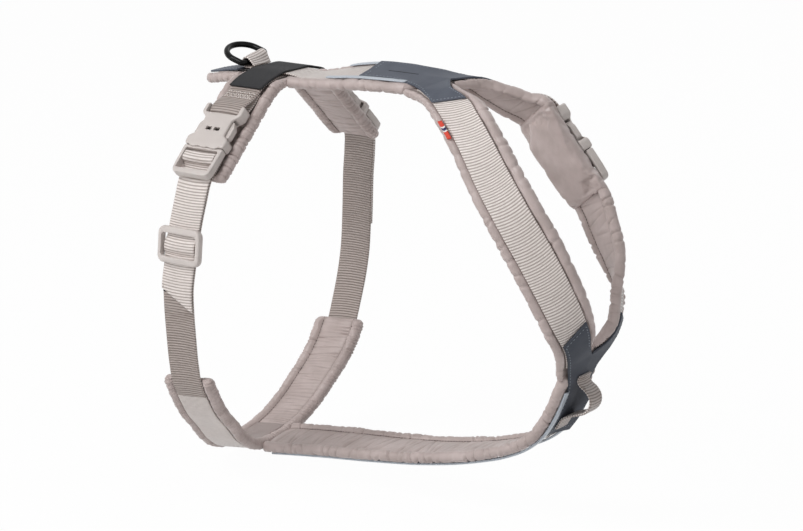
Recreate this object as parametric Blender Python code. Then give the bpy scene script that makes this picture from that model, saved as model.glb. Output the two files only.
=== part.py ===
"""A padded no pull dog harness with three side release buckles, a slider and a lead ring.

Metres, +Z up. +X points to the dog's head, +Y to the dog's left. The origin is the middle of the chest
girth, where the dog's body is. Sizes below are in millimetres and become metres when a mesh is made.
"""

from math import asin, cos, pi, radians, sin, tan

import bmesh
import bpy
import numpy as np
from mathutils import Matrix, Vector

MM = 0.001
GAP = 0.3
WELD = 0.002

# Padded strap section: a flat channel between two rolled edges
CHANNEL = 1.5
GIRTH_HALF = 21.5
GIRTH_ROLL = 4.2
SLIM_HALF = 20.5
SLIM_ROLL = 3.8
PRESSED_ROLL = 3.2
FLAP_ROLL = 3.5
ROLL_SIDES = 8
GIRTH_SPACING = 7.5
MIDDLE_SPACING = 10.0
NECK_SPACING = 8.5

# Webbing, patches and edging are layers that lie on the padding
WEB_HALF = 13.0
WEB_THICK = 1.5
WEB_LEVEL = CHANNEL + GAP + WEB_THICK / 2
SECOND_LEVEL = WEB_LEVEL + WEB_THICK + GAP
PATCH_THICK = 1.3
PATCH_LEVEL = CHANNEL + 2 * GAP + WEB_THICK + PATCH_THICK / 2
STEM_HALF = 12.2
EDGING_THICK = 1.0
EDGING_LEVEL = CHANNEL + 2 * GAP + WEB_THICK + EDGING_THICK / 2
EDGING_MIDDLE = 13.8
EDGING_HALF = 1.3
# Edging under the sternum is broader and lies over the rolled edge
BROAD_MIDDLE = 14.9
BROAD_HALF = 2.3
BROAD_THICK = 1.6
BROAD_LEVEL = SLIM_ROLL + GAP + BROAD_THICK / 2

# Girth: flat over the back, a round shoulder, a straight run under each buckle, then the side
GIRTH_X = 7.5
GIRTH_TOP = 130.0
TOP_FLAT = 16.0
SHOULDER_RADIUS = 30.0
SHOULDER_TURN = radians(42.5)
BUCKLE_RUN = 72.0
RUN_START = TOP_FLAT + SHOULDER_RADIUS * SHOULDER_TURN
PAD_END = RUN_START + BUCKLE_RUN
# Right side below the straight run: x, y, z and the tilt of the strap across its width
GIRTH_SIDE = (
    (5.4, -92.8, 59.0, 0.0),
    (2.8, -94.8, 44.0, 0.0),
    (-0.5, -98.0, 15.0, 0.0),
    (-2.0, -99.2, 0.0, 0.0),
    (-2.6, -98.4, -16.0, 0.02),
    (-3.8, -95.6, -35.0, 0.05),
    (-6.0, -90.6, -58.0, 0.08),
    (-6.8, -87.5, -69.0, 0.09),
    (-7.2, -80.0, -83.0, 0.1),
    (-8.5, -70.0, -96.5, 0.12),
    (-10.0, -59.0, -107.0, 0.13),
    (-13.5, -42.5, -122.8, 0.14),
    (-18.0, -21.5, -135.2, 0.14),
    (-20.0, 0.0, -139.0, 0.14),
)
# The belly hangs a little lower on the right, by this slope, from one height to the other
BELLY_LEAN = 0.05
LEAN_HEIGHTS = (-60.0, -120.0)
BELLY_TIP_Z = -67.5
STRAP_END_Z = -81.0
TAIL_END_Z = -8.0
TAIL_SLANT = 0.6
LEFT_TAIL_END_Z = 4.0
SLIDER_Z = 28.5

# Back, from the rear flap to the fork at the withers: x, z and roll in degrees, left side up
BACK_LINE = (
    (-52.0, 123.0, 0.0),
    (-40.0, 125.4, 0.0),
    (-16.0, 129.4, 0.0),
    (6.0, 130.0, 0.0),
    (27.5, 130.2, 0.0),
    (40.0, 131.3, 2.0),
    (52.0, 133.0, 5.0),
    (65.0, 135.3, 9.0),
    (84.0, 137.8, 11.0),
    (105.0, 138.6, 10.5),
    (125.0, 138.5, 8.0),
    (153.0, 138.6, 3.0),
)
# Sternum, from the belly to the fork at the chest: x, z and roll in degrees, left side up
STERNUM_LINE = (
    (3.9, -134.2, 8.0),
    (14.0, -132.6, 8.0),
    (54.0, -127.2, 7.0),
    (97.0, -122.3, 5.0),
    (140.0, -116.2, 3.0),
    (180.0, -107.2, 1.0),
    (206.0, -98.4, 0.0),
    (219.5, -91.2, 0.0),
    (230.0, -81.8, 0.0),
    (238.0, -69.5, 0.0),
    (244.0, -56.8, 0.0),
    (248.8, -44.5, 0.0),
    (253.3, -33.0, 0.0),
    (257.5, -23.5, 0.0),
)
# Right neck strap: its rear edge and its front edge, from the withers to the chest
NECK_RIGHT = (
    ((126.0, -20.8, 134.6), (153.0, -0.5, 138.4)),
    ((138.0, -22.5, 131.5), (172.0, -17.5, 139.5)),
    ((147.0, -26.0, 128.0), (190.0, -25.5, 138.0)),
    ((160.5, -32.0, 118.8), (200.0, -31.0, 132.5)),
    ((174.5, -38.5, 107.0), (211.0, -34.5, 121.5)),
    ((194.0, -44.5, 81.0), (228.0, -38.5, 102.0)),
    ((212.5, -48.5, 58.0), (245.5, -40.5, 79.5)),
    ((228.0, -48.0, 35.0), (258.5, -36.0, 57.0)),
    ((241.5, -45.5, 12.0), (269.0, -30.5, 33.0)),
    ((251.0, -42.0, -7.0), (272.8, -21.5, 11.0)),
    ((253.8, -34.5, -20.0), (268.5, -10.5, -5.0)),
    ((248.6, -21.4, -41.0), (257.6, -0.6, -23.8)),
)
# Left neck strap: above its buckle, straight along the buckle, and below it
NECK_LEFT_UPPER = (
    ((126.0, 20.8, 140.3), (153.0, 0.5, 139.2)),
    ((141.0, 23.5, 135.5), (168.0, 17.5, 138.5)),
    ((153.0, 28.5, 126.0), (182.0, 26.0, 135.5)),
    ((163.5, 36.8, 117.0), (193.0, 30.5, 132.0)),
)
LEFT_BUCKLE_TOP = ((175.5, 46.1, 108.2), (204.8, 32.4, 130.0))
LEFT_BUCKLE_FOOT = ((217.9, 50.7, 53.8), (247.2, 36.8, 75.6))
NECK_LEFT_LOWER = (
    ((229.6, 48.0, 36.8), (258.0, 32.0, 57.5)),
    ((242.5, 45.8, 20.0), (267.0, 25.5, 35.5)),
    ((256.0, 42.8, 3.0), (269.5, 15.0, 14.0)),
    ((256.5, 36.0, -17.0), (270.5, 8.8, -5.0)),
    ((248.6, 21.4, -41.0), (257.6, 0.6, -23.8)),
)
LEFT_BUCKLE_SHARES = (0.0, 0.12, 0.88, 1.0)
BUCKLE_TOP_KNOT = len(NECK_LEFT_UPPER)
BUCKLE_FOOT_KNOT = BUCKLE_TOP_KNOT + len(LEFT_BUCKLE_SHARES) - 1
PATCH_ARM_KNOT = 2
CHEST_ARM_KNOT = 9

# Side release buckle: along the strap, across it and out of it, from the middle of the buckle
BUCKLE_LIFT = 8.8
GIRTH_BUCKLE = RUN_START + 47.0
SOCKET_LOW = -4.1
SOCKET_HIGH = 4.5
SOCKET_BAR = (-28.5, -24.6)
SOCKET_BAR_LEVELS = (-2.8, 0.6)
SOCKET_SLOT_END = -20.8
SOCKET_MOUTH = 6.0
SOCKET_OUTLINE = ((-28.5, 16.5), (-20.5, 16.5), (-17.0, 11.7), (-4.0, 11.7), (-0.5, 16.9), (6.0, 16.4))
HOLLOW_START = -18.2
HOLLOW_HALF = 15.4
HOLLOW_LEVELS = (-2.6, 2.8)
SLOT_HALF = 13.6
PEEP_HOLE = (-9.4, -6.6)
PEEP_SIDES = (1.0, 5.8)
PLUG_OUTLINE = ((6.4, 16.3), (20.0, 16.0), (29.0, 15.0))
PLUG_LEVELS = (-2.5, 3.3)
PLUG_SLOTS = ((8.6, 12.0), (15.6, 25.2))
PLUG_BAR_LEVELS = (-2.0, 1.5)
TONGUE_TIP = -10.0
TONGUE_HALF = 4.5
PRONG_LEVELS = (-2.2, 2.4)
PRONG_HINGE = (5.0, 11.0)
PRONG_OUTLINE = (
    (5.8, 9.4),
    (5.8, 12.6),
    (-2.0, 13.0),
    (-4.0, 15.0),
    (-12.0, 15.0),
    (-16.5, 12.6),
    (-16.5, 10.8),
    (-6.0, 10.4),
)

# Slider: a frame with a middle bar, from the middle of the strap that runs behind it
SLIDER_HALF_LENGTH = 12.5
SLIDER_HALF_WIDTH = 18.0
SLIDER_CORNER = 5.0
SLIDER_LEVELS = (1.05, 6.0)
SLIDER_WINDOW = 8.2
SLIDER_CLEAR = 15.0
SLIDER_TUNNEL = 2.85
SLIDER_BAR_HALF = 2.0
SLIDER_BAR_HIGH = 2.95

# Lead ring and the loop that holds its bar
RING_BAR = (-14.5, 0.0, 140.0)
RING_WIRE = 2.1
RING_HALF = 12.8
RING_DEPTH = 21.0
RING_CORNER = 2.5
RING_ROLL = radians(10.0)
RING_PITCH = radians(18.0)
LOOP_HALF = 9.4
# Loop path: x, z and how far it has taken up the ring's roll
LOOP_PATH = (
    (-7.6, 134.4, 0.0),
    (-10.2, 134.9, 0.1),
    (-12.6, 136.0, 0.5),
    (-15.0, 136.7, 1.0),
    (-17.2, 138.2, 1.0),
    (-17.8, 140.3, 1.0),
    (-16.6, 142.5, 1.0),
    (-14.2, 143.3, 1.0),
    (-11.8, 142.1, 1.0),
    (-9.8, 139.4, 0.5),
    (-8.3, 137.3, 0.1),
    (-7.6, 136.4, 0.0),
)

# Finishes: base colour (linear), roughness, metallic
FINISHES = {
    "padding": ((0.46, 0.38, 0.36), 0.6, 0.0),
    "webbing": ((0.55, 0.48, 0.46), 0.7, 0.0),
    "plastic": ((0.56, 0.51, 0.48), 0.42, 0.0),
    "patch": ((0.105, 0.115, 0.145), 0.8, 0.0),
    "label": ((0.05, 0.05, 0.052), 0.75, 0.0),
    "edging": ((0.50, 0.53, 0.57), 0.4, 0.0),
    "ring": ((0.012, 0.012, 0.013), 0.25, 0.0),
    "tag": ((0.62, 0.06, 0.04), 0.7, 0.0),
}


class Lane:
    """A strap's middle line, with the direction across the strap and out of it at every point."""

    def __init__(self, centres, across, outward, spacing, closed=False):
        self.centres = np.array(centres)
        self.across = np.array(across)
        self.closed = closed
        ahead = np.roll(self.centres, -1, axis=0)
        behind = np.roll(self.centres, 1, axis=0)
        if not closed:
            ahead[-1] = self.centres[-1]
            behind[0] = self.centres[0]
        out = outward * np.cross(self.across, ahead - behind)
        self.out = out / np.linalg.norm(out, axis=1)[:, None]
        steps = np.linalg.norm(np.diff(self.centres, axis=0), axis=1)
        self.run = np.concatenate(([0.0], np.cumsum(steps)))
        self.length = self.run[-1]
        self.step = self.length / round(self.length / spacing)

    def frame(self, along):
        """Centre, across and out at a distance along the strap."""
        if self.closed:
            along = along % self.length
        columns = []
        for table in (self.centres, self.across, self.out):
            columns.append(np.array([np.interp(along, self.run, table[:, i]) for i in range(3)]))
        return columns

    def point(self, along, across, out):
        """The point that far along the strap, across it and out of it."""
        centre, side, up = self.frame(along)
        return centre + side * across + up * out

    def axes(self, along, lift, forward):
        """A frame on the strap: its X along the strap, or back along it, and its Z out of it."""
        ahead = Vector((self.frame(along + 1.0)[0] - self.frame(along - 1.0)[0]) * forward)
        side, out = (Vector(column).normalized() for column in self.frame(along)[1:])
        if side.cross(out).dot(ahead) < 0.0:
            side = -side
        matrix = Matrix((side.cross(out), side, out)).transposed().to_4x4()
        matrix.translation = Vector(self.point(along, 0.0, lift)) * MM
        return matrix

    def where(self, axis, value):
        """Distance along the strap where its middle line reaches a coordinate, on the right if on both."""
        count = len(self.run) // 2 if self.closed else len(self.run)
        heights = self.centres[:count, axis]
        order = np.argsort(heights)
        return float(np.interp(value, heights[order], self.run[:count][order]))

    def stations(self, start, end):
        """Distances from start to end. Layers that share a strap share the ones between."""
        low, high = min(start, end), max(start, end)
        first = int(np.ceil((low + 1.0) / self.step))
        last = int(np.floor((high - 1.0) / self.step))
        inner = [k * self.step for k in range(first, last + 1)]
        return [start] + (inner if start < end else inner[::-1]) + [end]

    def level(self, start, end, out):
        """A path at one height out of the strap."""
        return [(along, out) for along in self.stations(start, end)]


def smooth_run(knots, steps):
    """Points on a smooth curve through the knots, so many to each span."""
    knots = [np.array(knot, float) for knot in knots]
    gaps = [np.linalg.norm((b - a)[:3]) for a, b in zip(knots, knots[1:])]
    slopes = [(b - a) / gap for a, b, gap in zip(knots, knots[1:], gaps)]
    tangents = [slopes[0]]
    for i in range(1, len(slopes)):
        blend = slopes[i - 1] * gaps[i] + slopes[i] * gaps[i - 1]
        tangents.append(blend / (gaps[i - 1] + gaps[i]))
    tangents.append(slopes[-1])
    run = []
    for i, gap in enumerate(gaps):
        for t in np.arange(steps) / steps:
            start = (1 + 2 * t) * (1 - t) ** 2 * knots[i] + t * (1 - t) ** 2 * gap * tangents[i]
            end = t * t * (3 - 2 * t) * knots[i + 1] + t * t * (t - 1) * gap * tangents[i + 1]
            run.append(start + end)
    run.append(knots[-1])
    return run


def girth_lane():
    """The whole girth, from the middle of the back down the right side and up the left."""
    half = [(GIRTH_X, -y, GIRTH_TOP, 0.0) for y in np.linspace(0.0, TOP_FLAT, 8)]
    for turn in np.linspace(0.0, SHOULDER_TURN, 13)[1:]:
        y = -TOP_FLAT - SHOULDER_RADIUS * sin(turn)
        z = GIRTH_TOP - SHOULDER_RADIUS * (1.0 - cos(turn))
        half.append((GIRTH_X, y, z, 0.0))
    start = np.array(half[-1])
    heading = np.array((0.0, -cos(SHOULDER_TURN), -sin(SHOULDER_TURN), 0.0))
    half += [start + heading * along for along in np.linspace(4.0, BUCKLE_RUN, 18)]
    side = smooth_run([half[-4], half[-1]] + list(GIRTH_SIDE), 8)
    half += side[9:]
    left = [np.array(row) * (1.0, -1.0, 1.0, 1.0) for row in half[-2::-1]]
    rows = np.array([np.array(row) for row in half] + left)
    high, low = LEAN_HEIGHTS
    rows[:, 2] += BELLY_LEAN * rows[:, 1] * np.clip((high - rows[:, 2]) / (high - low), 0.0, 1.0)
    across = np.array([(cos(tilt), 0.0, sin(tilt)) for tilt in rows[:, 3]])
    return Lane(rows[:, :3], across, -1.0, GIRTH_SPACING, closed=True)


def middle_lane(line, outward):
    """A strap that runs along the middle plane, through points given as x, z and roll."""
    rows = np.array(smooth_run([(x, 0.0, z, radians(roll)) for x, z, roll in line], 8))
    across = [(0.0, cos(roll), sin(roll)) for roll in rows[:, 3]]
    return Lane(rows[:, :3], across, outward, MIDDLE_SPACING)


def edge_lane(edges, half, outward):
    """A strap between a rear edge and a front edge."""
    knots = []
    for rear, front in edges:
        rear, front = np.array(rear), np.array(front)
        knots.append(np.concatenate(((rear + front) / 2, (front - rear) / 2)))
    points = np.array(smooth_run(knots, 8))
    return Lane(points[:, :3], points[:, 3:] / half, outward, NECK_SPACING)


def left_neck_edges():
    """The left neck strap's edges, straight along the buckle."""
    straight = []
    for share in LEFT_BUCKLE_SHARES:
        pair = []
        for top, foot in zip(LEFT_BUCKLE_TOP, LEFT_BUCKLE_FOOT):
            pair.append(tuple(a + (b - a) * share for a, b in zip(top, foot)))
        straight.append(tuple(pair))
    return list(NECK_LEFT_UPPER) + straight + list(NECK_LEFT_LOWER)


def finish(name):
    """The material of one finish."""
    colour, roughness, metallic = FINISHES[name]
    material = bpy.data.materials.get(name) or bpy.data.materials.new(name)
    material.use_nodes = True
    material.diffuse_color = (*colour, 1.0)
    shader = material.node_tree.nodes["Principled BSDF"]
    shader.inputs["Base Color"].default_value = (*colour, 1.0)
    shader.inputs["Roughness"].default_value = roughness
    shader.inputs["Metallic"].default_value = metallic
    return material


def place(name, data, look, matrix=None, parent=None):
    """Put mesh or curve data in the scene as a named piece."""
    piece = bpy.data.objects.new(name, data)
    bpy.context.collection.objects.link(piece)
    data.materials.clear()
    data.materials.append(finish(look))
    if matrix is not None:
        piece.matrix_world = matrix
    if parent is not None:
        bpy.context.view_layer.update()
        piece.parent = parent
        piece.matrix_parent_inverse = parent.matrix_world.inverted()
    return piece


def swept_mesh(name, rings):
    """A closed solid through a row of rings, extruded from one to the next."""
    form = bmesh.new()
    face = form.faces.new([form.verts.new(Vector(point) * MM) for point in rings[0]])
    for i, ring in enumerate(rings[1:]):
        grown = bmesh.ops.extrude_face_region(form, geom=[face])["geom"]
        if i:
            form.faces.remove(face)
        face = next(item for item in grown if isinstance(item, bmesh.types.BMFace))
        for vert, point in zip(face.verts, ring):
            vert.co = Vector(point) * MM
    bmesh.ops.recalc_face_normals(form, faces=form.faces)
    bmesh.ops.triangulate(form, faces=form.faces, quad_method="SHORT_EDGE")
    mesh = bpy.data.meshes.new(name)
    form.to_mesh(mesh)
    form.free()
    mesh.shade_smooth()
    mesh.set_sharp_from_angle(angle=radians(40.0))
    return mesh


def rolled_outline(half, roll):
    """A padded strap's section: a flat channel between two rolled edges."""
    roll = max(roll, CHANNEL * 1.01)
    lip = asin(CHANNEL / roll)
    outline = []
    for turn in np.linspace(lip - pi, pi - lip, ROLL_SIDES + 1):
        outline.append((half - roll + roll * cos(turn), roll * sin(turn)))
    for turn in np.linspace(lip, 2 * pi - lip, ROLL_SIDES + 1):
        outline.append((roll - half + roll * cos(turn), roll * sin(turn)))
    return outline


def padded_strap(name, stations):
    """A padded strap through stations of lane, distance along it, half width and roll radius."""
    rings = []
    for lane, along, half, roll in stations:
        rings.append([lane.point(along, w, n) for w, n in rolled_outline(half, roll)])
    return place(name, swept_mesh(name, rings), "padding")


def ribbon_mesh(name, lane, path, half=WEB_HALF, thick=WEB_THICK, middle=0.0, slant=0.0):
    """A flat strip along a path of distances along a lane and out of it.

    half may be one value or one for each point; slant leans the last end across the strip.
    """
    path = np.array(path, float)
    halves = half if isinstance(half, (list, tuple)) else [half] * len(path)
    rings = []
    for i, (along, out) in enumerate(path):
        ahead = path[min(i + 1, len(path) - 1)] - path[max(i - 1, 0)]
        face = np.array((-ahead[1], ahead[0])) / np.linalg.norm(ahead) * thick / 2
        lean = slant if i == len(path) - 1 else 0.0
        ring = []
        for edge, sign in ((-1, 1), (1, 1), (1, -1), (-1, -1)):
            w = middle + edge * halves[i]
            ring.append(lane.point(along + lean * w + sign * face[0], w, out + sign * face[1]))
        rings.append(ring)
    return swept_mesh(name, rings)


def ribbon(name, lane, path, look="webbing", **sizes):
    """A flat strip as a named piece."""
    return place(name, ribbon_mesh(name, lane, path, **sizes), look)


def joined_patch(name, meshes, look):
    """Strips that overlap, made one solid."""
    piece = place(name, meshes[0], look)
    for mesh in meshes[1:]:
        arm = place(f"{mesh.name}_helper", mesh, look)
        arm.hide_render = True
        arm.display_type = "WIRE"
        union = piece.modifiers.new("arm", "BOOLEAN")
        union.operation = "UNION"
        union.solver = "EXACT"
        union.object = arm
    return piece


def plate_mesh(name, outline, levels, corner=0.0, edge=0.0, segments=2):
    """An outline of along and across, given thickness, with round corners and eased edges."""
    low, high = levels
    form = bmesh.new()
    face = form.faces.new([form.verts.new((s * MM, w * MM, low * MM)) for s, w in outline])
    grown = bmesh.ops.extrude_face_region(form, geom=[face])["geom"]
    rise = [item for item in grown if isinstance(item, bmesh.types.BMVert)]
    bmesh.ops.translate(form, verts=rise, vec=(0.0, 0.0, (high - low) * MM))
    bmesh.ops.recalc_face_normals(form, faces=form.faces)
    if corner:
        upright = [e for e in form.edges if abs(e.verts[0].co.z - e.verts[1].co.z) > GAP * MM]
        bmesh.ops.bevel(
            form, geom=upright, offset=corner * MM, segments=segments, profile=0.5, affect="EDGES"
        )
    if edge:
        rims = [e for e in form.edges if abs(e.verts[0].co.z - e.verts[1].co.z) < GAP * MM]
        bmesh.ops.bevel(
            form, geom=rims, offset=edge * MM, segments=1, profile=0.5, affect="EDGES"
        )
    mesh = bpy.data.meshes.new(name)
    form.to_mesh(mesh)
    form.free()
    return mesh


def block(name, along, half, levels):
    """A square block between two places along, as wide each side of the middle."""
    (start, end) = along
    outline = [(start, -half), (end, -half), (end, half), (start, half)]
    return plate_mesh(name, outline, levels)


def both_sides(outline):
    """An outline given on one side of the middle, closed with its mirror image."""
    return list(outline) + [(s, -w) for s, w in reversed(outline)]


def carved_mesh(name, body, steps):
    """A mesh after blocks are cut from it or joined to it, in order."""
    base = bpy.data.objects.new(name, body)
    bpy.context.collection.objects.link(base)
    helpers = []
    for operation, mesh in steps:
        helper = bpy.data.objects.new(f"{name}_helper", mesh)
        bpy.context.collection.objects.link(helper)
        helpers.append(helper)
        step = base.modifiers.new(operation.lower(), "BOOLEAN")
        step.operation = operation
        step.solver = "EXACT"
        step.object = helper
    seen = base.evaluated_get(bpy.context.evaluated_depsgraph_get())
    mesh = bpy.data.meshes.new_from_object(seen)
    mesh.name = name
    for helper in helpers + [base]:
        bpy.data.objects.remove(helper)
    form = bmesh.new()
    form.from_mesh(mesh)
    bmesh.ops.remove_doubles(form, verts=form.verts, dist=WELD * MM)
    bmesh.ops.dissolve_degenerate(form, edges=form.edges, dist=WELD * MM)
    bmesh.ops.triangulate(form, faces=form.faces, ngon_method="EAR_CLIP")
    form.to_mesh(mesh)
    form.free()
    mesh.shade_smooth()
    mesh.set_sharp_from_angle(angle=radians(35.0))
    return mesh


def socket_mesh():
    """The buckle's female half: a webbing bar, a hollow body open at its mouth and at its waist."""
    deep = (-9.0, 9.0)
    bar_low, bar_high = SOCKET_BAR_LEVELS
    body = plate_mesh("socket_body", both_sides(SOCKET_OUTLINE), (SOCKET_LOW, SOCKET_HIGH), 1.6, 1.0)
    steps = [
        ("DIFFERENCE", block("hollow", (HOLLOW_START, SOCKET_MOUTH + 2.0), HOLLOW_HALF, HOLLOW_LEVELS)),
        ("DIFFERENCE", block("slot", (SOCKET_BAR[1], SOCKET_SLOT_END), SLOT_HALF, deep)),
        ("DIFFERENCE", block("bar_top", (-32.0, SOCKET_BAR[1] + 1.0), SLOT_HALF, (bar_high, 9.0))),
        ("DIFFERENCE", block("bar_foot", (-32.0, SOCKET_BAR[1] + 1.0), SLOT_HALF, (-9.0, bar_low))),
    ]
    for side in (-1, 1):
        near, far = sorted((side * PEEP_SIDES[0], side * PEEP_SIDES[1]))
        start, end = PEEP_HOLE
        outline = [(start, near), (end, near), (end, far), (start, far)]
        steps.append(("DIFFERENCE", plate_mesh("peep", outline, (0.5, 9.0))))
    return carved_mesh("socket", body, steps)


def plug_mesh():
    """The buckle's male half without its prongs: a tongue, and a frame with two webbing slots."""
    deep = (-9.0, 9.0)
    bar_low, bar_high = PLUG_BAR_LEVELS
    bar = (PLUG_SLOTS[0][0] + 1.0, PLUG_SLOTS[1][1] - 1.0)
    tongue = (TONGUE_TIP, PLUG_OUTLINE[0][0] + 1.0)
    body = plate_mesh("plug_body", both_sides(PLUG_OUTLINE), PLUG_LEVELS, 2.2, 0.9)
    steps = [("DIFFERENCE", block("slot", slot, SLOT_HALF, deep)) for slot in PLUG_SLOTS]
    steps.append(("DIFFERENCE", block("bar_top", bar, SLOT_HALF, (bar_high, 9.0))))
    steps.append(("DIFFERENCE", block("bar_foot", bar, SLOT_HALF, (-9.0, bar_low))))
    steps.append(("UNION", block("tongue", tongue, TONGUE_HALF, PRONG_LEVELS)))
    return carved_mesh("plug", body, steps)


def prong_mesh(side):
    """One spring prong, with its origin on the root that it bends about."""
    outline = [(s - PRONG_HINGE[0], side * (w - PRONG_HINGE[1])) for s, w in PRONG_OUTLINE]
    return plate_mesh("prong", outline, PRONG_LEVELS, 0.7, 0.4, 1)


def slider_mesh():
    """A flat frame with a middle bar that sits behind its window."""
    length, width = SLIDER_HALF_LENGTH, SLIDER_HALF_WIDTH
    outline = [(-length, -width), (length, -width), (length, width), (-length, width)]
    window = (-SLIDER_WINDOW, SLIDER_WINDOW)
    through = (-2.0 * length, 2.0 * length)
    bar = (-SLIDER_BAR_HALF, SLIDER_BAR_HALF)
    body = plate_mesh("slider_body", outline, SLIDER_LEVELS, SLIDER_CORNER, 1.0, 4)
    steps = [
        ("DIFFERENCE", block("window", window, SLIDER_CLEAR, (-9.0, 19.0))),
        ("DIFFERENCE", block("tunnel", through, SLIDER_CLEAR, (-9.0, SLIDER_TUNNEL))),
        ("UNION", block("bar", bar, SLIDER_CLEAR + 1.0, (SLIDER_LEVELS[0] + 0.1, SLIDER_BAR_HIGH))),
    ]
    return carved_mesh("slider", body, steps)


def add_buckle(name, frame, meshes):
    """A socket, a plug and the plug's two prongs, on a strap's frame."""
    place(f"{name}_socket", meshes["socket"].copy(), "plastic", frame)
    plug = place(f"{name}_plug", meshes["plug"].copy(), "plastic", frame)
    for side in (1, -1):
        label = "front" if side * frame.col[1].x > 0.0 else "rear"
        root = Matrix.Translation(Vector((PRONG_HINGE[0], side * PRONG_HINGE[1], 0.0)) * MM)
        place(f"{name}_prong_{label}", prong_mesh(side), "plastic", frame @ root, plug)


def socket_loop(buckle, steps_kept):
    """Path of webbing that comes down to a socket, turns round its bar and lies back under itself."""
    steps = (
        (-60.0, WEB_LEVEL),
        (-53.0, 3.9),
        (-46.0, 4.7),
        (-38.0, 6.9),
        (-30.5, 10.2),
        (-26.3, 10.9),
        (-23.2, 10.0),
        (-22.6, 8.2),
        (-22.8, 6.2),
        (-24.0, 4.9),
        (-28.0, 4.6),
        (-33.0, 3.4),
        (-38.0, WEB_LEVEL),
        (-46.5, WEB_LEVEL),
    )
    return [(buckle + along, level) for along, level in steps[:steps_kept]]


def plug_loop(buckle):
    """Path of webbing that comes up under a plug, over its middle bar and back down on itself."""
    steps = (
        (13.5, WEB_LEVEL),
        (11.0, 3.6),
        (10.3, 6.4),
        (10.3, 9.6),
        (11.5, 11.3),
        (13.6, 11.6),
        (15.9, 11.4),
        (17.2, 10.0),
        (17.4, 8.0),
        (18.8, 5.9),
        (22.5, 4.6),
        (26.0, 4.5),
    )
    return [(buckle + along, level) for along, level in steps]


def slider_pass(middle):
    """Path of the tail under the slider's frame and over its middle bar."""
    steps = (
        (-9.0, SECOND_LEVEL),
        (-6.2, 4.4),
        (-2.9, 6.3),
        (0.0, 6.65),
        (2.9, 6.3),
        (6.2, 4.4),
        (9.0, SECOND_LEVEL),
    )
    return [(middle + along, level) for along, level in steps]


def add_padding(girth, back, sternum, neck_right, neck_left):
    """Every padded strap, butted end to end with a small gap."""
    stations = []
    for along in girth.stations(-PAD_END, PAD_END):
        pressed = abs(along) < 23.0 or abs(along) == PAD_END
        stations.append((girth, along, GIRTH_HALF, PRESSED_ROLL if pressed else GIRTH_ROLL))
    padded_strap("girth_top_pad", stations)

    tip = girth.where(2, BELLY_TIP_Z)
    stations = []
    for along in girth.stations(tip, girth.length - tip):
        at_tip = along in (tip, girth.length - tip)
        stations.append((girth, along, GIRTH_HALF, PRESSED_ROLL if at_tip else GIRTH_ROLL))
    padded_strap("belly_pad", stations)

    start = back.where(0, GIRTH_X + GIRTH_HALF + GAP)
    fork = back.where(0, 125.0)
    stations = [(back, along, SLIM_HALF, SLIM_ROLL) for along in back.stations(start, fork)]
    stations.append((back, back.where(0, 138.5), 10.0, CHANNEL))
    stations.append((back, back.where(0, 149.0), 2.0, CHANNEL))
    padded_strap("back_pad", stations)

    stations = []
    root = GIRTH_X - GIRTH_HALF - GAP
    for x, half in ((root, 19.5), (-25.0, 19.5), (-36.0, 18.0), (-44.0, 15.5), (-49.0, 12.5), (-52.0, 8.0)):
        stations.append((back, back.where(0, x), half, FLAP_ROLL))
    padded_strap("rear_flap_pad", stations)

    fork = sternum.where(2, -42.0)
    stations = [(sternum, along, SLIM_HALF, SLIM_ROLL) for along in sternum.stations(0.0, fork)]
    stations.append((sternum, sternum.where(2, -34.0), 10.0, CHANNEL))
    stations.append((sternum, sternum.where(2, -27.5), 2.0, CHANNEL))
    padded_strap("sternum_pad", stations)

    padded_strap("neck_pad_right", neck_stations(neck_right, 0.0, neck_right.length))
    top, foot = neck_buckle_ends(neck_left)
    padded_strap("neck_pad_left_upper", neck_stations(neck_left, 0.0, top - GAP))
    padded_strap("neck_pad_left_lower", neck_stations(neck_left, foot + GAP, neck_left.length))
    rings = []
    for along in neck_left.stations(top, foot):
        swell = sin(pi * (along - top) / (foot - top)) ** 0.5 if top < along < foot else 0.0
        depth = 4.5 + 2.5 * swell
        outline = [(-14.2, CHANNEL), (-15.4, 3.6), (-18.2, 4.2), (-21.2, 2.2), (-22.0, -2.5)]
        outline += [(-19.5, 0.6 - depth), (-9.0, -depth)]
        outline += [(-w, n) for w, n in reversed(outline)]
        rings.append([neck_left.point(along, w, n) for w, n in outline])
    place("neck_buckle_pad", swept_mesh("neck_buckle_pad", rings), "padding")


def neck_stations(lane, start, end):
    """Stations along a neck strap, whose rolled edges are thin at the forks."""
    stations = []
    for along in lane.stations(start, end):
        from_fork = min(along, lane.length - along)
        roll = SLIM_ROLL if from_fork > 20.0 else 2.4 + (SLIM_ROLL - 2.4) * from_fork / 20.0
        stations.append((lane, along, SLIM_HALF, roll))
    return stations


def knot_along(lane, edges, knot):
    """Distance along a neck strap to one of its knots."""
    rear, front = (np.array(edge) for edge in edges[knot])
    return float(lane.run[np.argmin(np.linalg.norm(lane.centres - (rear + front) / 2, axis=1))])


def neck_buckle_ends(lane):
    """Where the left neck strap's buckle pad starts and ends."""
    edges = left_neck_edges()
    return knot_along(lane, edges, BUCKLE_TOP_KNOT), knot_along(lane, edges, BUCKLE_FOOT_KNOT)


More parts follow.
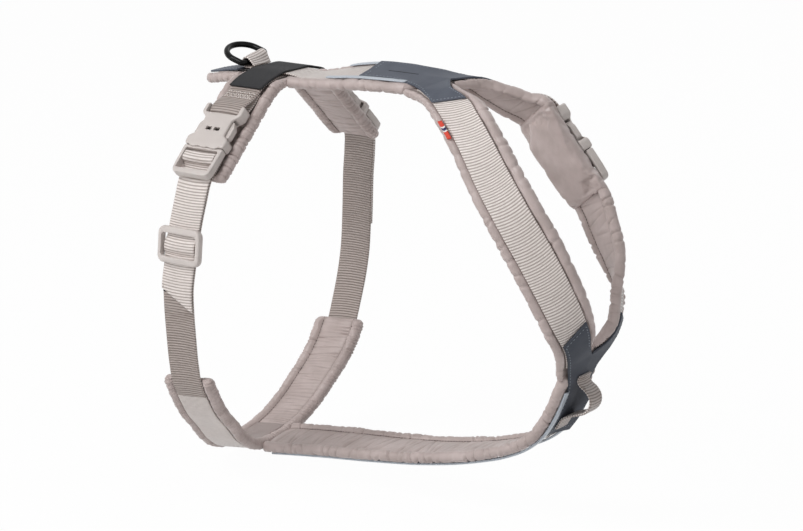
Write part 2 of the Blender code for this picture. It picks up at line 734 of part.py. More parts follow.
def add_webbing(girth, back, sternum, neck_right, neck_left, neck_buckle):
    """Every strip of webbing that carries load."""
    right = socket_loop(GIRTH_BUCKLE, 14)[::-1]
    left = [(-along, level) for along, level in reversed(right)]
    over = girth.level(right[-1][0], left[0][0], WEB_LEVEL)
    ribbon("girth_top_webbing", girth, right + over[1:-1] + left)

    strap_end = girth.where(2, STRAP_END_Z)
    slider = girth.where(2, SLIDER_Z)
    up = girth.level(strap_end, PAD_END, WEB_LEVEL)
    up += girth.level(PAD_END, GIRTH_BUCKLE + 20.0, WEB_LEVEL)[1:] + plug_loop(GIRTH_BUCKLE)
    tail = girth.level(GIRTH_BUCKLE + 31.0, slider - 9.0, SECOND_LEVEL)[:-1] + slider_pass(slider)
    tail += girth.level(slider + 14.0, girth.where(2, TAIL_END_Z + 12.0), SECOND_LEVEL)
    tail.append((girth.where(2, TAIL_END_Z), SECOND_LEVEL))
    ribbon("girth_strap_right", girth, up + tail, slant=TAIL_SLANT)
    tail = girth.level(GIRTH_BUCKLE + 31.0, girth.where(2, LEFT_TAIL_END_Z), SECOND_LEVEL)
    ribbon("girth_strap_left", girth, [(-along, level) for along, level in up + tail])

    start, end = strap_end + GAP, girth.length - strap_end - GAP
    ribbon("belly_webbing", girth, girth.level(start, end, WEB_LEVEL))

    path = [(back.where(0, -6.0), SECOND_LEVEL), (back.where(0, 27.0), SECOND_LEVEL)]
    path += back.level(back.where(0, 36.0), back.where(0, 125.0), WEB_LEVEL)
    path.append((back.where(0, 134.0), WEB_LEVEL))
    ribbon("back_webbing", back, path, half=[WEB_HALF] * (len(path) - 1) + [7.0])

    ribbon("sternum_webbing", sternum, sternum.level(0.5, sternum.where(2, -44.0), WEB_LEVEL))

    ribbon("neck_webbing_right", neck_right, neck_right.level(7.0, neck_right.length - 9.0, WEB_LEVEL))
    loop = socket_loop(neck_buckle, 12)
    path = neck_left.level(7.0, loop[0][0], WEB_LEVEL)[:-1] + loop
    ribbon("neck_webbing_left_upper", neck_left, path)
    path = neck_left.level(neck_left.length - 9.0, neck_buckle + 20.0, WEB_LEVEL)
    path += plug_loop(neck_buckle) + neck_left.level(neck_buckle + 31.0, neck_buckle + 46.0, SECOND_LEVEL)
    ribbon("neck_webbing_left_lower", neck_left, path)


def add_patches(girth, back, sternum, neck_right, neck_left):
    """Patches, label, tag and reflective edging, which lie on the webbing."""
    arm = knot_along(neck_right, NECK_RIGHT, PATCH_ARM_KNOT)
    stem = back.level(back.where(0, 84.0), back.where(0, 130.0), PATCH_LEVEL)
    stem += [(back.where(0, x), PATCH_LEVEL) for x in (139.0, 149.0)]
    halves = [STEM_HALF] * (len(stem) - 2) + [11.0, 6.5]
    meshes = [ribbon_mesh("withers_stem", back, stem, half=halves, thick=PATCH_THICK)]
    for label, lane in (("right", neck_right), ("left", neck_left)):
        meshes.append(ribbon_mesh(f"withers_{label}", lane, lane.level(0.0, arm, PATCH_LEVEL), thick=PATCH_THICK))
    joined_patch("withers_patch", meshes, "patch")

    arm = neck_right.length - knot_along(neck_right, NECK_RIGHT, CHEST_ARM_KNOT)
    stem = sternum.level(sternum.where(2, -83.0), sternum.where(2, -47.0), PATCH_LEVEL)
    stem += [(sternum.where(2, z), PATCH_LEVEL) for z in (-43.0, -37.5, -31.0, -25.5)]
    halves = [STEM_HALF] * (len(stem) - 3) + [18.5, 13.0, 6.5]
    meshes = [ribbon_mesh("chest_stem", sternum, stem, half=halves, thick=PATCH_THICK)]
    for label, lane in (("right", neck_right), ("left", neck_left)):
        path = lane.level(lane.length - arm, lane.length, PATCH_LEVEL)
        meshes.append(ribbon_mesh(f"chest_{label}", lane, path, thick=PATCH_THICK))
    joined_patch("chest_patch", meshes, "patch")

    level = FLAP_ROLL + GAP + PATCH_THICK / 2
    path = [(back.where(0, x), level) for x in (-18.0, -25.0, -36.0, -42.0, -46.5)]
    ribbon("rear_patch", back, path, "patch", half=[14.8, 14.8, 13.2, 11.0, 8.0], thick=PATCH_THICK)

    path = [(-30.0, 5.2), (-21.0, 4.9), (-14.5, 6.0), (0.0, 6.0), (14.5, 6.0), (21.0, 4.9), (30.0, 5.3), (36.5, 6.4)]
    ribbon("label_patch", girth, path, "label", half=14.0, thick=1.2, middle=1.0)

    middle = girth.length / 2
    path = girth.level(middle - 20.0, middle + 20.0, -CHANNEL - GAP - 0.5)
    ribbon("belly_inner_patch", girth, path, half=12.6, thick=1.0)

    start = neck_right.where(2, 127.5) + 3.0
    path = neck_right.level(start, start + 14.0, 4.6)
    ribbon("side_tag", neck_right, path, "tag", half=1.7, thick=0.8, middle=-14.9)

    for label, side in (("right", -1), ("left", 1)):
        sizes = {"half": EDGING_HALF, "thick": EDGING_THICK, "middle": side * EDGING_MIDDLE}
        path = back.level(back.where(0, 60.0), back.where(0, 124.0), EDGING_LEVEL)
        ribbon(f"back_edging_{label}", back, path, "edging", **sizes)
        sizes = {"half": BROAD_HALF, "thick": BROAD_THICK, "middle": side * BROAD_MIDDLE}
        path = sternum.level(4.0, sternum.where(2, -49.0), BROAD_LEVEL)
        ribbon(f"sternum_edging_{label}", sternum, path, "edging", **sizes)


def add_chest_loop(sternum):
    """A soft lead loop sewn on the chest patch at both ends."""
    top = sternum.where(2, -43.5)
    foot = PATCH_LEVEL + PATCH_THICK / 2 + GAP + WEB_THICK / 2
    steps = ((5.0, foot), (1.0, foot + 0.2), (-0.8, 8.6), (-2.0, 13.5), (-5.0, 18.0), (-10.0, 20.0), (-15.5, 18.5),
             (-20.0, 14.0), (-24.5, 9.0), (-28.4, foot + 0.4), (-32.5, foot), (-37.0, foot))
    path = [(top + along, level) for along, level in steps]
    ribbon("chest_loop", sternum, path, half=7.5)


def add_lead_ring():
    """The lead ring, with its origin on its bar, and the webbing loop round the bar."""
    outline = [(0.0, y) for y in (-10.3, -4.0, 4.0, 10.3)]
    reach = RING_DEPTH - RING_HALF
    for turn in (30.0, 60.0, 90.0):
        away = RING_CORNER * (1.0 - cos(radians(turn)))
        outline.append((-away, RING_HALF - RING_CORNER * (1.0 - sin(radians(turn)))))
    for turn in np.linspace(0.0, pi, 15):
        outline.append((-reach - RING_HALF * sin(turn), RING_HALF * cos(turn)))
    for turn in (90.0, 60.0, 30.0):
        away = RING_CORNER * (1.0 - cos(radians(turn)))
        outline.append((-away, RING_CORNER * (1.0 - sin(radians(turn))) - RING_HALF))
    wire = bpy.data.curves.new("d_ring", "CURVE")
    wire.dimensions = "3D"
    wire.bevel_depth = RING_WIRE * MM
    wire.bevel_resolution = 2
    spline = wire.splines.new("POLY")
    spline.points.add(len(outline) - 1)
    for knot, (x, y) in zip(spline.points, outline):
        knot.co = (x * MM, y * MM, 0.0, 1.0)
    spline.use_cyclic_u = True
    turn = Matrix.Rotation(RING_ROLL, 4, "X") @ Matrix.Rotation(RING_PITCH, 4, "Y")
    place("d_ring", wire, "ring", Matrix.Translation(Vector(RING_BAR) * MM) @ turn)

    rings = []
    for i, (x, z, rolled) in enumerate(LOOP_PATH):
        before, after = LOOP_PATH[max(i - 1, 0)], LOOP_PATH[min(i + 1, len(LOOP_PATH) - 1)]
        ahead = Vector((after[0] - before[0], after[1] - before[1])).normalized() * WEB_THICK / 2
        ring = []
        for y, sign in ((-LOOP_HALF, 1), (LOOP_HALF, 1), (LOOP_HALF, -1), (-LOOP_HALF, -1)):
            lift = y * tan(RING_ROLL) * rolled
            ring.append((x - sign * ahead.y, y, z + sign * ahead.x + lift))
        rings.append(ring)
    place("d_ring_loop", swept_mesh("d_ring_loop", rings), "webbing")


def main():
    """Build the harness."""
    for old in list(bpy.data.objects):
        bpy.data.objects.remove(old)
    girth = girth_lane()
    back = middle_lane(BACK_LINE, -1.0)
    sternum = middle_lane(STERNUM_LINE, 1.0)
    neck_right = edge_lane(NECK_RIGHT, SLIM_HALF, -1.0)
    neck_left = edge_lane(left_neck_edges(), SLIM_HALF, 1.0)
    neck_buckle = sum(neck_buckle_ends(neck_left)) / 2

    add_padding(girth, back, sternum, neck_right, neck_left)
    add_webbing(girth, back, sternum, neck_right, neck_left, neck_buckle)
    add_patches(girth, back, sternum, neck_right, neck_left)
    add_chest_loop(sternum)
    add_lead_ring()

    meshes = {"socket": socket_mesh(), "plug": plug_mesh()}
    add_buckle("girth_right", girth.axes(GIRTH_BUCKLE, BUCKLE_LIFT, 1.0), meshes)
    add_buckle("girth_left", girth.axes(-GIRTH_BUCKLE, BUCKLE_LIFT, -1.0), meshes)
    add_buckle("neck", neck_left.axes(neck_buckle, BUCKLE_LIFT, 1.0), meshes)
    place("strap_slider", slider_mesh(), "plastic", girth.axes(girth.where(2, SLIDER_Z), WEB_LEVEL, 1.0))


main()
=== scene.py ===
"""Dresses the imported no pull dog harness: padded straps, ribbed webbing, moulded buckles and sewn patches.

Sizes are in millimetres and become metres when a mesh is made. +X points to the dog's head, +Y to its left.
"""

import logging
from collections.abc import Sequence
from dataclasses import dataclass, field
from enum import Enum
from math import cos, pi, radians, sin, tan

import bmesh
import bpy
import numpy as np
from mathutils import Matrix, Vector


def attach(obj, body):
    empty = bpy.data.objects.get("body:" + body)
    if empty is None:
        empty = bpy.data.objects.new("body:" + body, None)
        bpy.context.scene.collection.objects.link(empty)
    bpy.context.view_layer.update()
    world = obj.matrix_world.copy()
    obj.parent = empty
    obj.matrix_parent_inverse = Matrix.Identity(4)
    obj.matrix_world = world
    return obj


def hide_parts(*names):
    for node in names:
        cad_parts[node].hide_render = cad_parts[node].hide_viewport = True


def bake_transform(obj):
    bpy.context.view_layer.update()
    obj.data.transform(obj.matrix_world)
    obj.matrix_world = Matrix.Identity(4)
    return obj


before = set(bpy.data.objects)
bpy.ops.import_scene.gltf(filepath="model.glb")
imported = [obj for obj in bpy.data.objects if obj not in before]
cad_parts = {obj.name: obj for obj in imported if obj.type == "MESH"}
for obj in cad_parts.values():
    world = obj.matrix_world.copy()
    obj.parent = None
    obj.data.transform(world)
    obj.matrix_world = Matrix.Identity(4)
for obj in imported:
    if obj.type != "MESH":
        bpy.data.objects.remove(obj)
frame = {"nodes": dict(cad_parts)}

LOG = logging.getLogger("harness")
Array = np.ndarray
Mesh = bpy.types.Mesh
Piece = bpy.types.Object
Socket = bpy.types.NodeSocket
Path = list[tuple[float, float]]
Line = tuple[np.ndarray, np.ndarray]

MM = 0.001
GAP = 0.3

# Padded strap section: a flat channel between two rolled edges
CHANNEL = 1.5
GIRTH_HALF = 21.5
GIRTH_ROLL = 4.2
SLIM_HALF = 20.5
SLIM_ROLL = 3.8
PRESSED_ROLL = 3.2
FLAP_ROLL = 3.5

# Layers that lie on the padding
WEB_HALF = 13.0
WEB_THICK = 1.5
WEB_LEVEL = CHANNEL + GAP + WEB_THICK / 2
SECOND_LEVEL = WEB_LEVEL + WEB_THICK + GAP
PATCH_THICK = 1.3
PATCH_LEVEL = CHANNEL + 2 * GAP + WEB_THICK + PATCH_THICK / 2
STEM_HALF = 12.2
EDGING_THICK = 1.0
EDGING_LEVEL = CHANNEL + 2 * GAP + WEB_THICK + EDGING_THICK / 2
EDGING_MIDDLE = 13.8
EDGING_HALF = 1.3
BROAD_MIDDLE = 14.9
BROAD_HALF = 2.3
BROAD_THICK = 1.6
BROAD_LEVEL = SLIM_ROLL + GAP + BROAD_THICK / 2
RIB_PITCH = 1.85
# Added to a strip's texture coordinate on its paler face, which is partly the webbing's own paler side and
# partly a painted satin highlight
PALE_AND_HIGHLIGHT_FACE = 60.0

# Girth: flat over the back, a round shoulder, a straight run under each buckle, then the side
GIRTH_X = 7.5
GIRTH_TOP = 130.0
TOP_FLAT = 16.0
SHOULDER_RADIUS = 30.0
SHOULDER_TURN = radians(42.5)
BUCKLE_RUN = 72.0
RUN_START = TOP_FLAT + SHOULDER_RADIUS * SHOULDER_TURN
PAD_END = RUN_START + BUCKLE_RUN
GIRTH_SIDE = (
    (5.4, -92.8, 59.0, 0.0),
    (2.8, -94.8, 44.0, 0.0),
    (-0.5, -98.0, 15.0, 0.0),
    (-2.0, -99.2, 0.0, 0.0),
    (-2.6, -98.4, -16.0, 0.02),
    (-3.8, -95.6, -35.0, 0.05),
    (-6.0, -90.6, -58.0, 0.08),
    (-6.8, -87.5, -69.0, 0.09),
    (-7.2, -80.0, -83.0, 0.1),
    (-8.5, -70.0, -96.5, 0.12),
    (-10.0, -59.0, -107.0, 0.13),
    (-13.5, -42.5, -122.8, 0.14),
    (-18.0, -21.5, -135.2, 0.14),
    (-20.0, 0.0, -139.0, 0.14),
)
BELLY_LEAN = 0.05
LEAN_HEIGHTS = (-60.0, -120.0)
BELLY_TIP_Z = -67.5
STRAP_END_Z = -81.0
TAIL_END_Z = -8.0
TAIL_SLANT = 0.6
LEFT_TAIL_END_Z = 4.0
SLIDER_Z = 28.5

# Back and sternum: x, z and roll in degrees, left side up
BACK_LINE = (
    (-52.0, 123.0, 0.0),
    (-40.0, 125.4, 0.0),
    (-16.0, 129.4, 0.0),
    (6.0, 130.0, 0.0),
    (27.5, 130.2, 0.0),
    (40.0, 131.3, 2.0),
    (52.0, 133.0, 5.0),
    (65.0, 135.3, 9.0),
    (84.0, 137.8, 11.0),
    (105.0, 138.6, 10.5),
    (125.0, 138.5, 8.0),
    (153.0, 138.6, 3.0),
)
STERNUM_LINE = (
    (3.9, -134.2, 8.0),
    (14.0, -132.6, 8.0),
    (54.0, -127.2, 7.0),
    (97.0, -122.3, 5.0),
    (140.0, -116.2, 3.0),
    (180.0, -107.2, 1.0),
    (206.0, -98.4, 0.0),
    (219.5, -91.2, 0.0),
    (230.0, -81.8, 0.0),
    (238.0, -69.5, 0.0),
    (244.0, -56.8, 0.0),
    (248.8, -44.5, 0.0),
    (253.3, -33.0, 0.0),
    (257.5, -23.5, 0.0),
)
# Neck straps: rear edge and front edge, from the withers to the chest
NECK_RIGHT = (
    ((126.0, -20.8, 134.6), (153.0, -0.5, 138.4)),
    ((138.0, -22.5, 131.5), (172.0, -17.5, 139.5)),
    ((147.0, -26.0, 128.0), (190.0, -25.5, 138.0)),
    ((160.5, -32.0, 118.8), (200.0, -31.0, 132.5)),
    ((174.5, -38.5, 107.0), (211.0, -34.5, 121.5)),
    ((194.0, -44.5, 81.0), (228.0, -38.5, 102.0)),
    ((212.5, -48.5, 58.0), (245.5, -40.5, 79.5)),
    ((228.0, -48.0, 35.0), (258.5, -36.0, 57.0)),
    ((241.5, -45.5, 12.0), (269.0, -30.5, 33.0)),
    ((251.0, -42.0, -7.0), (272.8, -21.5, 11.0)),
    ((253.8, -34.5, -20.0), (268.5, -10.5, -5.0)),
    ((248.6, -21.4, -41.0), (257.6, -0.6, -23.8)),
)
NECK_LEFT_UPPER = (
    ((126.0, 20.8, 140.3), (153.0, 0.5, 139.2)),
    ((141.0, 23.5, 135.5), (168.0, 17.5, 138.5)),
    ((153.0, 28.5, 126.0), (182.0, 26.0, 135.5)),
    ((163.5, 36.8, 117.0), (193.0, 30.5, 132.0)),
)
LEFT_BUCKLE_TOP = ((175.5, 46.1, 108.2), (204.8, 32.4, 130.0))
LEFT_BUCKLE_FOOT = ((217.9, 50.7, 53.8), (247.2, 36.8, 75.6))
NECK_LEFT_LOWER = (
    ((229.6, 48.0, 36.8), (258.0, 32.0, 57.5)),
    ((242.5, 45.8, 20.0), (267.0, 25.5, 35.5)),
    ((256.0, 42.8, 3.0), (269.5, 15.0, 14.0)),
    ((256.5, 36.0, -17.0), (270.5, 8.8, -5.0)),
    ((248.6, 21.4, -41.0), (257.6, 0.6, -23.8)),
)
LEFT_BUCKLE_SHARES = (0.0, 0.12, 0.88, 1.0)
BUCKLE_TOP_KNOT = len(NECK_LEFT_UPPER)
BUCKLE_FOOT_KNOT = BUCKLE_TOP_KNOT + len(LEFT_BUCKLE_SHARES) - 1
PATCH_ARM_KNOT = 2
ARM_SHARES = (0.3, 0.55, 0.8, 1.0)
WITHERS_FORK = 12.0
CHEST_FORK = 10.0
CHEST_FAR_EDGE = (17.6, 7.2)
CHEST_FAR_CUT = (7.0, 9.0)
CHEST_NEAR_CUT = (3.0, 11.0)
BACK_EDGING_GROWTH = 0.5
BACK_EDGING_LIFT = 0.35
BACK_EDGING_SHIFT = 0.3
SEAM_MIN_HALF = 12.0
SEAM_ROLLS = 1.9
SEAM_SINK = 0.15
CHEST_ARM_KNOT = 9
GIRTH_BUCKLE = RUN_START + 47.0
BUCKLE_LIFT = 8.8


class Side(Enum):
    """The dog's right or left, as the sign of its Y."""

    RIGHT = -1
    LEFT = 1


class Hold(Enum):
    """How a piece is held: riding on one of the model's bodies, or baked in place on none."""

    RIDE = "ride"
    BLEND = "blend"


def linear(code: str) -> tuple[float, float, float, float]:
    """Turn an sRGB hex colour into linear light.

    Args:
        code: Six hex digits.

    Returns:
        Red, green, blue and a full alpha.
    """
    channels = []
    for start in (0, 2, 4):
        value = int(code[start : start + 2], 16) / 255
        channels.append(value / 12.92 if value <= 0.04045 else ((value + 0.055) / 1.055) ** 2.4)
    return (channels[0], channels[1], channels[2], 1.0)


def add_node(
    tree: bpy.types.NodeTree,
    kind: str,
    inputs: dict | None = None,
    links: dict | None = None,
    **settings: object,
) -> bpy.types.Node:
    """Add a node with its settings and links.

    Args:
        tree: The node tree.
        kind: The node's type name.
        inputs: Values for its input sockets, by name or number.
        links: Output sockets that feed its input sockets, by name or number.
        **settings: Values for the node's own properties.

    Returns:
        The node.
    """
    node = tree.nodes.new(kind)
    for name, value in settings.items():
        setattr(node, name, value)
    for key, value in (inputs or {}).items():
        node.inputs[key].default_value = value
    for key, source in (links or {}).items():
        tree.links.new(source, node.inputs[key])
    return node


def smooth_run(knots: Sequence, steps: int) -> Array:
    """Put a smooth curve through knots.

    Args:
        knots: Rows of numbers to pass through.
        steps: How many points each span gets.

    Returns:
        One row for each point.
    """
    rows = [np.array(knot, float) for knot in knots]
    gaps = [np.linalg.norm((b - a)[:3]) for a, b in zip(rows, rows[1:])]
    slopes = [(b - a) / gap for a, b, gap in zip(rows, rows[1:], gaps)]
    tangents = [slopes[0]]
    for i in range(1, len(slopes)):
        mixed = slopes[i - 1] * gaps[i] + slopes[i] * gaps[i - 1]
        tangents.append(mixed / (gaps[i - 1] + gaps[i]))
    tangents.append(slopes[-1])
    run = []
    for i, gap in enumerate(gaps):
        for t in np.arange(steps) / steps:
            start = (1 + 2 * t) * (1 - t) ** 2 * rows[i] + t * (1 - t) ** 2 * gap * tangents[i]
            end = t * t * (3 - 2 * t) * rows[i + 1] + t * t * (t - 1) * gap * tangents[i + 1]
            run.append(start + end)
    run.append(rows[-1])
    return np.array(run)


class Lane:
    """A strap's middle line, with the direction across the strap and out of it at every point."""

    def __init__(self, centres: Array, across: Array, outward: float, closed: bool = False) -> None:
        """Work out the way out of the strap and the distance along it.

        Args:
            centres: Points on the middle line.
            across: Direction across the strap at each point.
            outward: 1 or -1, which side is out.
            closed: Whether the strap is a ring.
        """
        self.centres = centres
        self.across = across
        self.closed = closed
        ahead = np.roll(centres, -1, axis=0)
        behind = np.roll(centres, 1, axis=0)
        if not closed:
            ahead[-1] = centres[-1]
            behind[0] = centres[0]
        out = outward * np.cross(across, ahead - behind)
        self.out = out / np.linalg.norm(out, axis=1)[:, None]
        steps = np.linalg.norm(np.diff(centres, axis=0), axis=1)
        self.run = np.concatenate(([0.0], np.cumsum(steps)))
        self.length = float(self.run[-1])

    def frames(self, along: Array) -> list[Array]:
        """Give centre, across and out at distances along the strap.

        Args:
            along: Distances, in an array of any shape.

        Returns:
            Three arrays of vectors.
        """
        places = np.asarray(along, float)
        if self.closed:
            places = places % self.length
        columns = []
        for table in (self.centres, self.across, self.out):
            columns.append(np.stack([np.interp(places, self.run, table[:, i]) for i in range(3)], axis=-1))
        return columns

    def points(self, along: Array, across: Array, out: Array) -> Array:
        """Give the points so far along the strap, across it and out of it.

        Args:
            along: Distances along.
            across: Distances across.
            out: Distances out.

        Returns:
            An array of points.
        """
        centre, side, up = self.frames(along)
        return centre + side * np.asarray(across, float)[..., None] + up * np.asarray(out, float)[..., None]

    def point(self, along: float, across: float, out: float) -> Array:
        """Give one such point."""
        return self.points(np.array(along), np.array(across), np.array(out))

    def seam(self, line: Path, level: float) -> Line:
        """Lay a line of distances along and across at one height.

        Args:
            line: Pairs of distance along and across.
            level: The height.

        Returns:
            Points close together, and the way out at each.
        """
        knots = np.array(line, float)
        run = np.concatenate(([0.0], np.cumsum(np.linalg.norm(np.diff(knots, axis=0), axis=1))))
        places = np.linspace(0.0, run[-1], int(run[-1] / 0.8) + 2)
        along, across = (np.interp(places, run, knots[:, i]) for i in range(2))
        return self.points(along, across, np.full(len(along), level)), self.frames(along)[2]

    def axes(self, along: float, lift: float, forward: float) -> Matrix:
        """Give a frame on the strap.

        Args:
            along: Distance along.
            lift: Height of its origin out of the strap.
            forward: 1 where its X runs along the strap, -1 where it runs back.

        Returns:
            The frame, with its Z out of the strap.
        """
        middle = self.frames(np.array((along - 1.0, along, along + 1.0)))
        ahead = Vector((middle[0][2] - middle[0][0]) * forward)
        side = Vector(middle[1][1]).normalized()
        out = Vector(middle[2][1]).normalized()
        if side.cross(out).dot(ahead) < 0.0:
            side = -side
        matrix = Matrix((side.cross(out), side, out)).transposed().to_4x4()
        matrix.translation = Vector(self.points(np.array(along), np.array(0.0), np.array(lift))) * MM
        return matrix

    def where(self, axis: int, value: float) -> float:
        """Find where the middle line reaches a coordinate, on the right if on both.

        Args:
            axis: 0, 1 or 2 for X, Y or Z.
            value: The coordinate.

        Returns:
            The distance along.
        """
        count = len(self.run) // 2 if self.closed else len(self.run)
        heights = self.centres[:count, axis]
        order = np.argsort(heights)
        return float(np.interp(value, heights[order], self.run[:count][order]))

    def nearest(self, point: Sequence[float]) -> float:
        """Give the distance along to the point of the middle line nearest a point."""
        return float(self.run[np.argmin(np.linalg.norm(self.centres - np.array(point), axis=1))])

    def level(self, start: float, end: float, out: float, spacing: float = 6.0) -> Path:
        """Give a path at one height out of the strap.

        Args:
            start: Distance along where it starts.
            end: Distance along where it ends.
            out: Its height.
            spacing: About how far apart its points are.

        Returns:
            Pairs of distance along and height.
        """
        count = max(2, int(abs(end - start) / spacing) + 1)
        return [(float(along), out) for along in np.linspace(start, end, count)]


@dataclass
class HarnessLines:
    """The five straps' lines, which every piece is placed on."""

    girth: Lane = field(init=False)
    back: Lane = field(init=False)
    sternum: Lane = field(init=False)
    neck_right: Lane = field(init=False)
    neck_left: Lane = field(init=False)
    buckle_top: float = field(init=False)
    buckle_foot: float = field(init=False)
    steps: int = 16

    def __post_init__(self) -> None:
        """Lay out every line."""
        self.girth = self.girth_lane()
        self.back = self.middle_lane(BACK_LINE, -1.0)
        self.sternum = self.middle_lane(STERNUM_LINE, 1.0)
        self.neck_right = self.edge_lane(NECK_RIGHT, -1.0)
        edges = self.left_neck_edges()
        self.neck_left = self.edge_lane(edges, 1.0)
        self.buckle_top = self.knot_along(self.neck_left, edges[BUCKLE_TOP_KNOT])
        self.buckle_foot = self.knot_along(self.neck_left, edges[BUCKLE_FOOT_KNOT])

    @property
    def neck_buckle(self) -> float:
        """Distance along the left neck strap to the middle of its buckle."""
        return (self.buckle_top + self.buckle_foot) / 2

    @staticmethod
    def knot_along(lane: Lane, knot: Sequence) -> float:
        """Distance along a neck strap to a pair of edge points."""
        rear, front = (np.array(edge) for edge in knot)
        return lane.nearest((rear + front) / 2)

    def girth_lane(self) -> Lane:
        """The whole girth, from the middle of the back down the right side and up the left."""
        half = [np.array((GIRTH_X, -y, GIRTH_TOP, 0.0)) for y in np.linspace(0.0, TOP_FLAT, 8)]
        for turn in np.linspace(0.0, SHOULDER_TURN, 25)[1:]:
            y = -TOP_FLAT - SHOULDER_RADIUS * sin(turn)
            z = GIRTH_TOP - SHOULDER_RADIUS * (1.0 - cos(turn))
            half.append(np.array((GIRTH_X, y, z, 0.0)))
        start = half[-1]
        heading = np.array((0.0, -cos(SHOULDER_TURN), -sin(SHOULDER_TURN), 0.0))
        half += [start + heading * along for along in np.linspace(4.0, BUCKLE_RUN, 18)]
        side = smooth_run([half[-4], half[-1], *GIRTH_SIDE], self.steps)
        half += list(side[self.steps + 1 :])
        left = [row * (1.0, -1.0, 1.0, 1.0) for row in half[-2::-1]]
        rows = np.array(half + left)
        high, low = LEAN_HEIGHTS
        rows[:, 2] += BELLY_LEAN * rows[:, 1] * np.clip((high - rows[:, 2]) / (high - low), 0.0, 1.0)
        across = np.array([(cos(tilt), 0.0, sin(tilt)) for tilt in rows[:, 3]])
        return Lane(rows[:, :3], across, -1.0, closed=True)

    def middle_lane(self, line: Sequence, outward: float) -> Lane:
        """Lay a strap along the middle plane.

        Args:
            line: Points as x, z and roll in degrees.
            outward: 1 or -1, which side is out.

        Returns:
            The strap's line.
        """
        rows = smooth_run([(x, 0.0, z, radians(roll)) for x, z, roll in line], self.steps)
        across = np.array([(0.0, cos(roll), sin(roll)) for roll in rows[:, 3]])
        return Lane(rows[:, :3], across, outward)

    def edge_lane(self, edges: Sequence, outward: float) -> Lane:
        """Lay a neck strap between its rear and front edges.

        Args:
            edges: Pairs of rear and front points.
            outward: 1 or -1, which side is out.

        Returns:
            The strap's line.
        """
        knots = []
        for rear, front in edges:
            rear, front = np.array(rear), np.array(front)
            knots.append(np.concatenate(((rear + front) / 2, (front - rear) / 2)))
        rows = smooth_run(knots, self.steps)
        return Lane(rows[:, :3], rows[:, 3:] / SLIM_HALF, outward)

    @staticmethod
    def left_neck_edges() -> list:
        """The left neck strap's edges, straight along the buckle."""
        straight = []
        for share in LEFT_BUCKLE_SHARES:
            pair = []
            for top, foot in zip(LEFT_BUCKLE_TOP, LEFT_BUCKLE_FOOT):
                pair.append(tuple(a + (b - a) * share for a, b in zip(top, foot)))
            straight.append(tuple(pair))
        return [*NECK_LEFT_UPPER, *straight, *NECK_LEFT_LOWER]


def grid_mesh(name: str, spots: Array, marks: Array | None = None) -> Mesh:
    """Lay a grid over rows of points.

    Args:
        name: The mesh's name.
        spots: Points in millimetres, by row and by column.
        marks: Texture coordinates by row and column.

    Returns:
        An open mesh in metres.
    """
    rows, columns = spots.shape[:2]
    size = np.array((rows - 1, columns - 1), float)
    form = bmesh.new()
    form.loops.layers.uv.new("weave")
    bmesh.ops.create_grid(form, x_segments=rows - 1, y_segments=columns - 1, size=0.5, calc_uvs=True)
    mesh = bpy.data.meshes.new(name)
    form.to_mesh(mesh)
    form.free()
    flat = np.empty(len(mesh.vertices) * 3)
    mesh.vertices.foreach_get("co", flat)
    cells = np.rint((flat.reshape(-1, 3)[:, :2] + 0.5) * size).astype(int)
    mesh.vertices.foreach_set("co", (spots[cells[:, 0], cells[:, 1]] * MM).ravel())
    if marks is not None:
        layer = mesh.uv_layers["weave"].data
        flat = np.empty(len(layer) * 2)
        layer.foreach_get("uv", flat)
        cells = np.rint(flat.reshape(-1, 2) * size).astype(int)
        layer.foreach_set("uv", marks[cells[:, 0], cells[:, 1]].ravel())
    return mesh


def wrapped_skin(name: str, spots: Array, marks: Array | None = None, looped: bool = False) -> Mesh:
    """Wrap a grid round a row of rings, close its seam and close its ends.

    Args:
        name: The mesh's name.
        spots: Points in millimetres, by row along and by place round.
        marks: Texture coordinates by row and place, with one more place than spots.
        looped: Whether the last row joins the first.

    Returns:
        A closed mesh in metres.
    """
    mesh = grid_mesh(name, np.concatenate((spots, spots[:, :1]), axis=1), marks)
    form = bmesh.new()
    form.from_mesh(mesh)
    bmesh.ops.remove_doubles(form, verts=form.verts, dist=1e-6)
    if not looped:
        rims = [edge for edge in form.edges if edge.is_boundary]
        bmesh.ops.holes_fill(form, edges=rims, sides=0)
    bmesh.ops.recalc_face_normals(form, faces=form.faces)
    form.to_mesh(mesh)
    form.free()
    mesh.shade_smooth()
    return mesh


def baked(carrier: Piece, helpers: Sequence[Piece] = ()) -> Mesh:
    """Apply an object's modifiers.

    Args:
        carrier: The object, which is removed.
        helpers: Other objects to remove with it.

    Returns:
        The finished mesh.
    """
    bpy.context.view_layer.update()
    seen = carrier.evaluated_get(bpy.context.evaluated_depsgraph_get())
    mesh = bpy.data.meshes.new_from_object(seen)
    mesh.name = carrier.name
    for spare in (carrier, *helpers):
        bpy.data.objects.remove(spare)
    return mesh


def carried(name: str, mesh: Mesh) -> Piece:
    """Put a mesh in the scene as an object of that name."""
    piece = bpy.data.objects.new(name, mesh)
    bpy.context.scene.collection.objects.link(piece)
    return piece


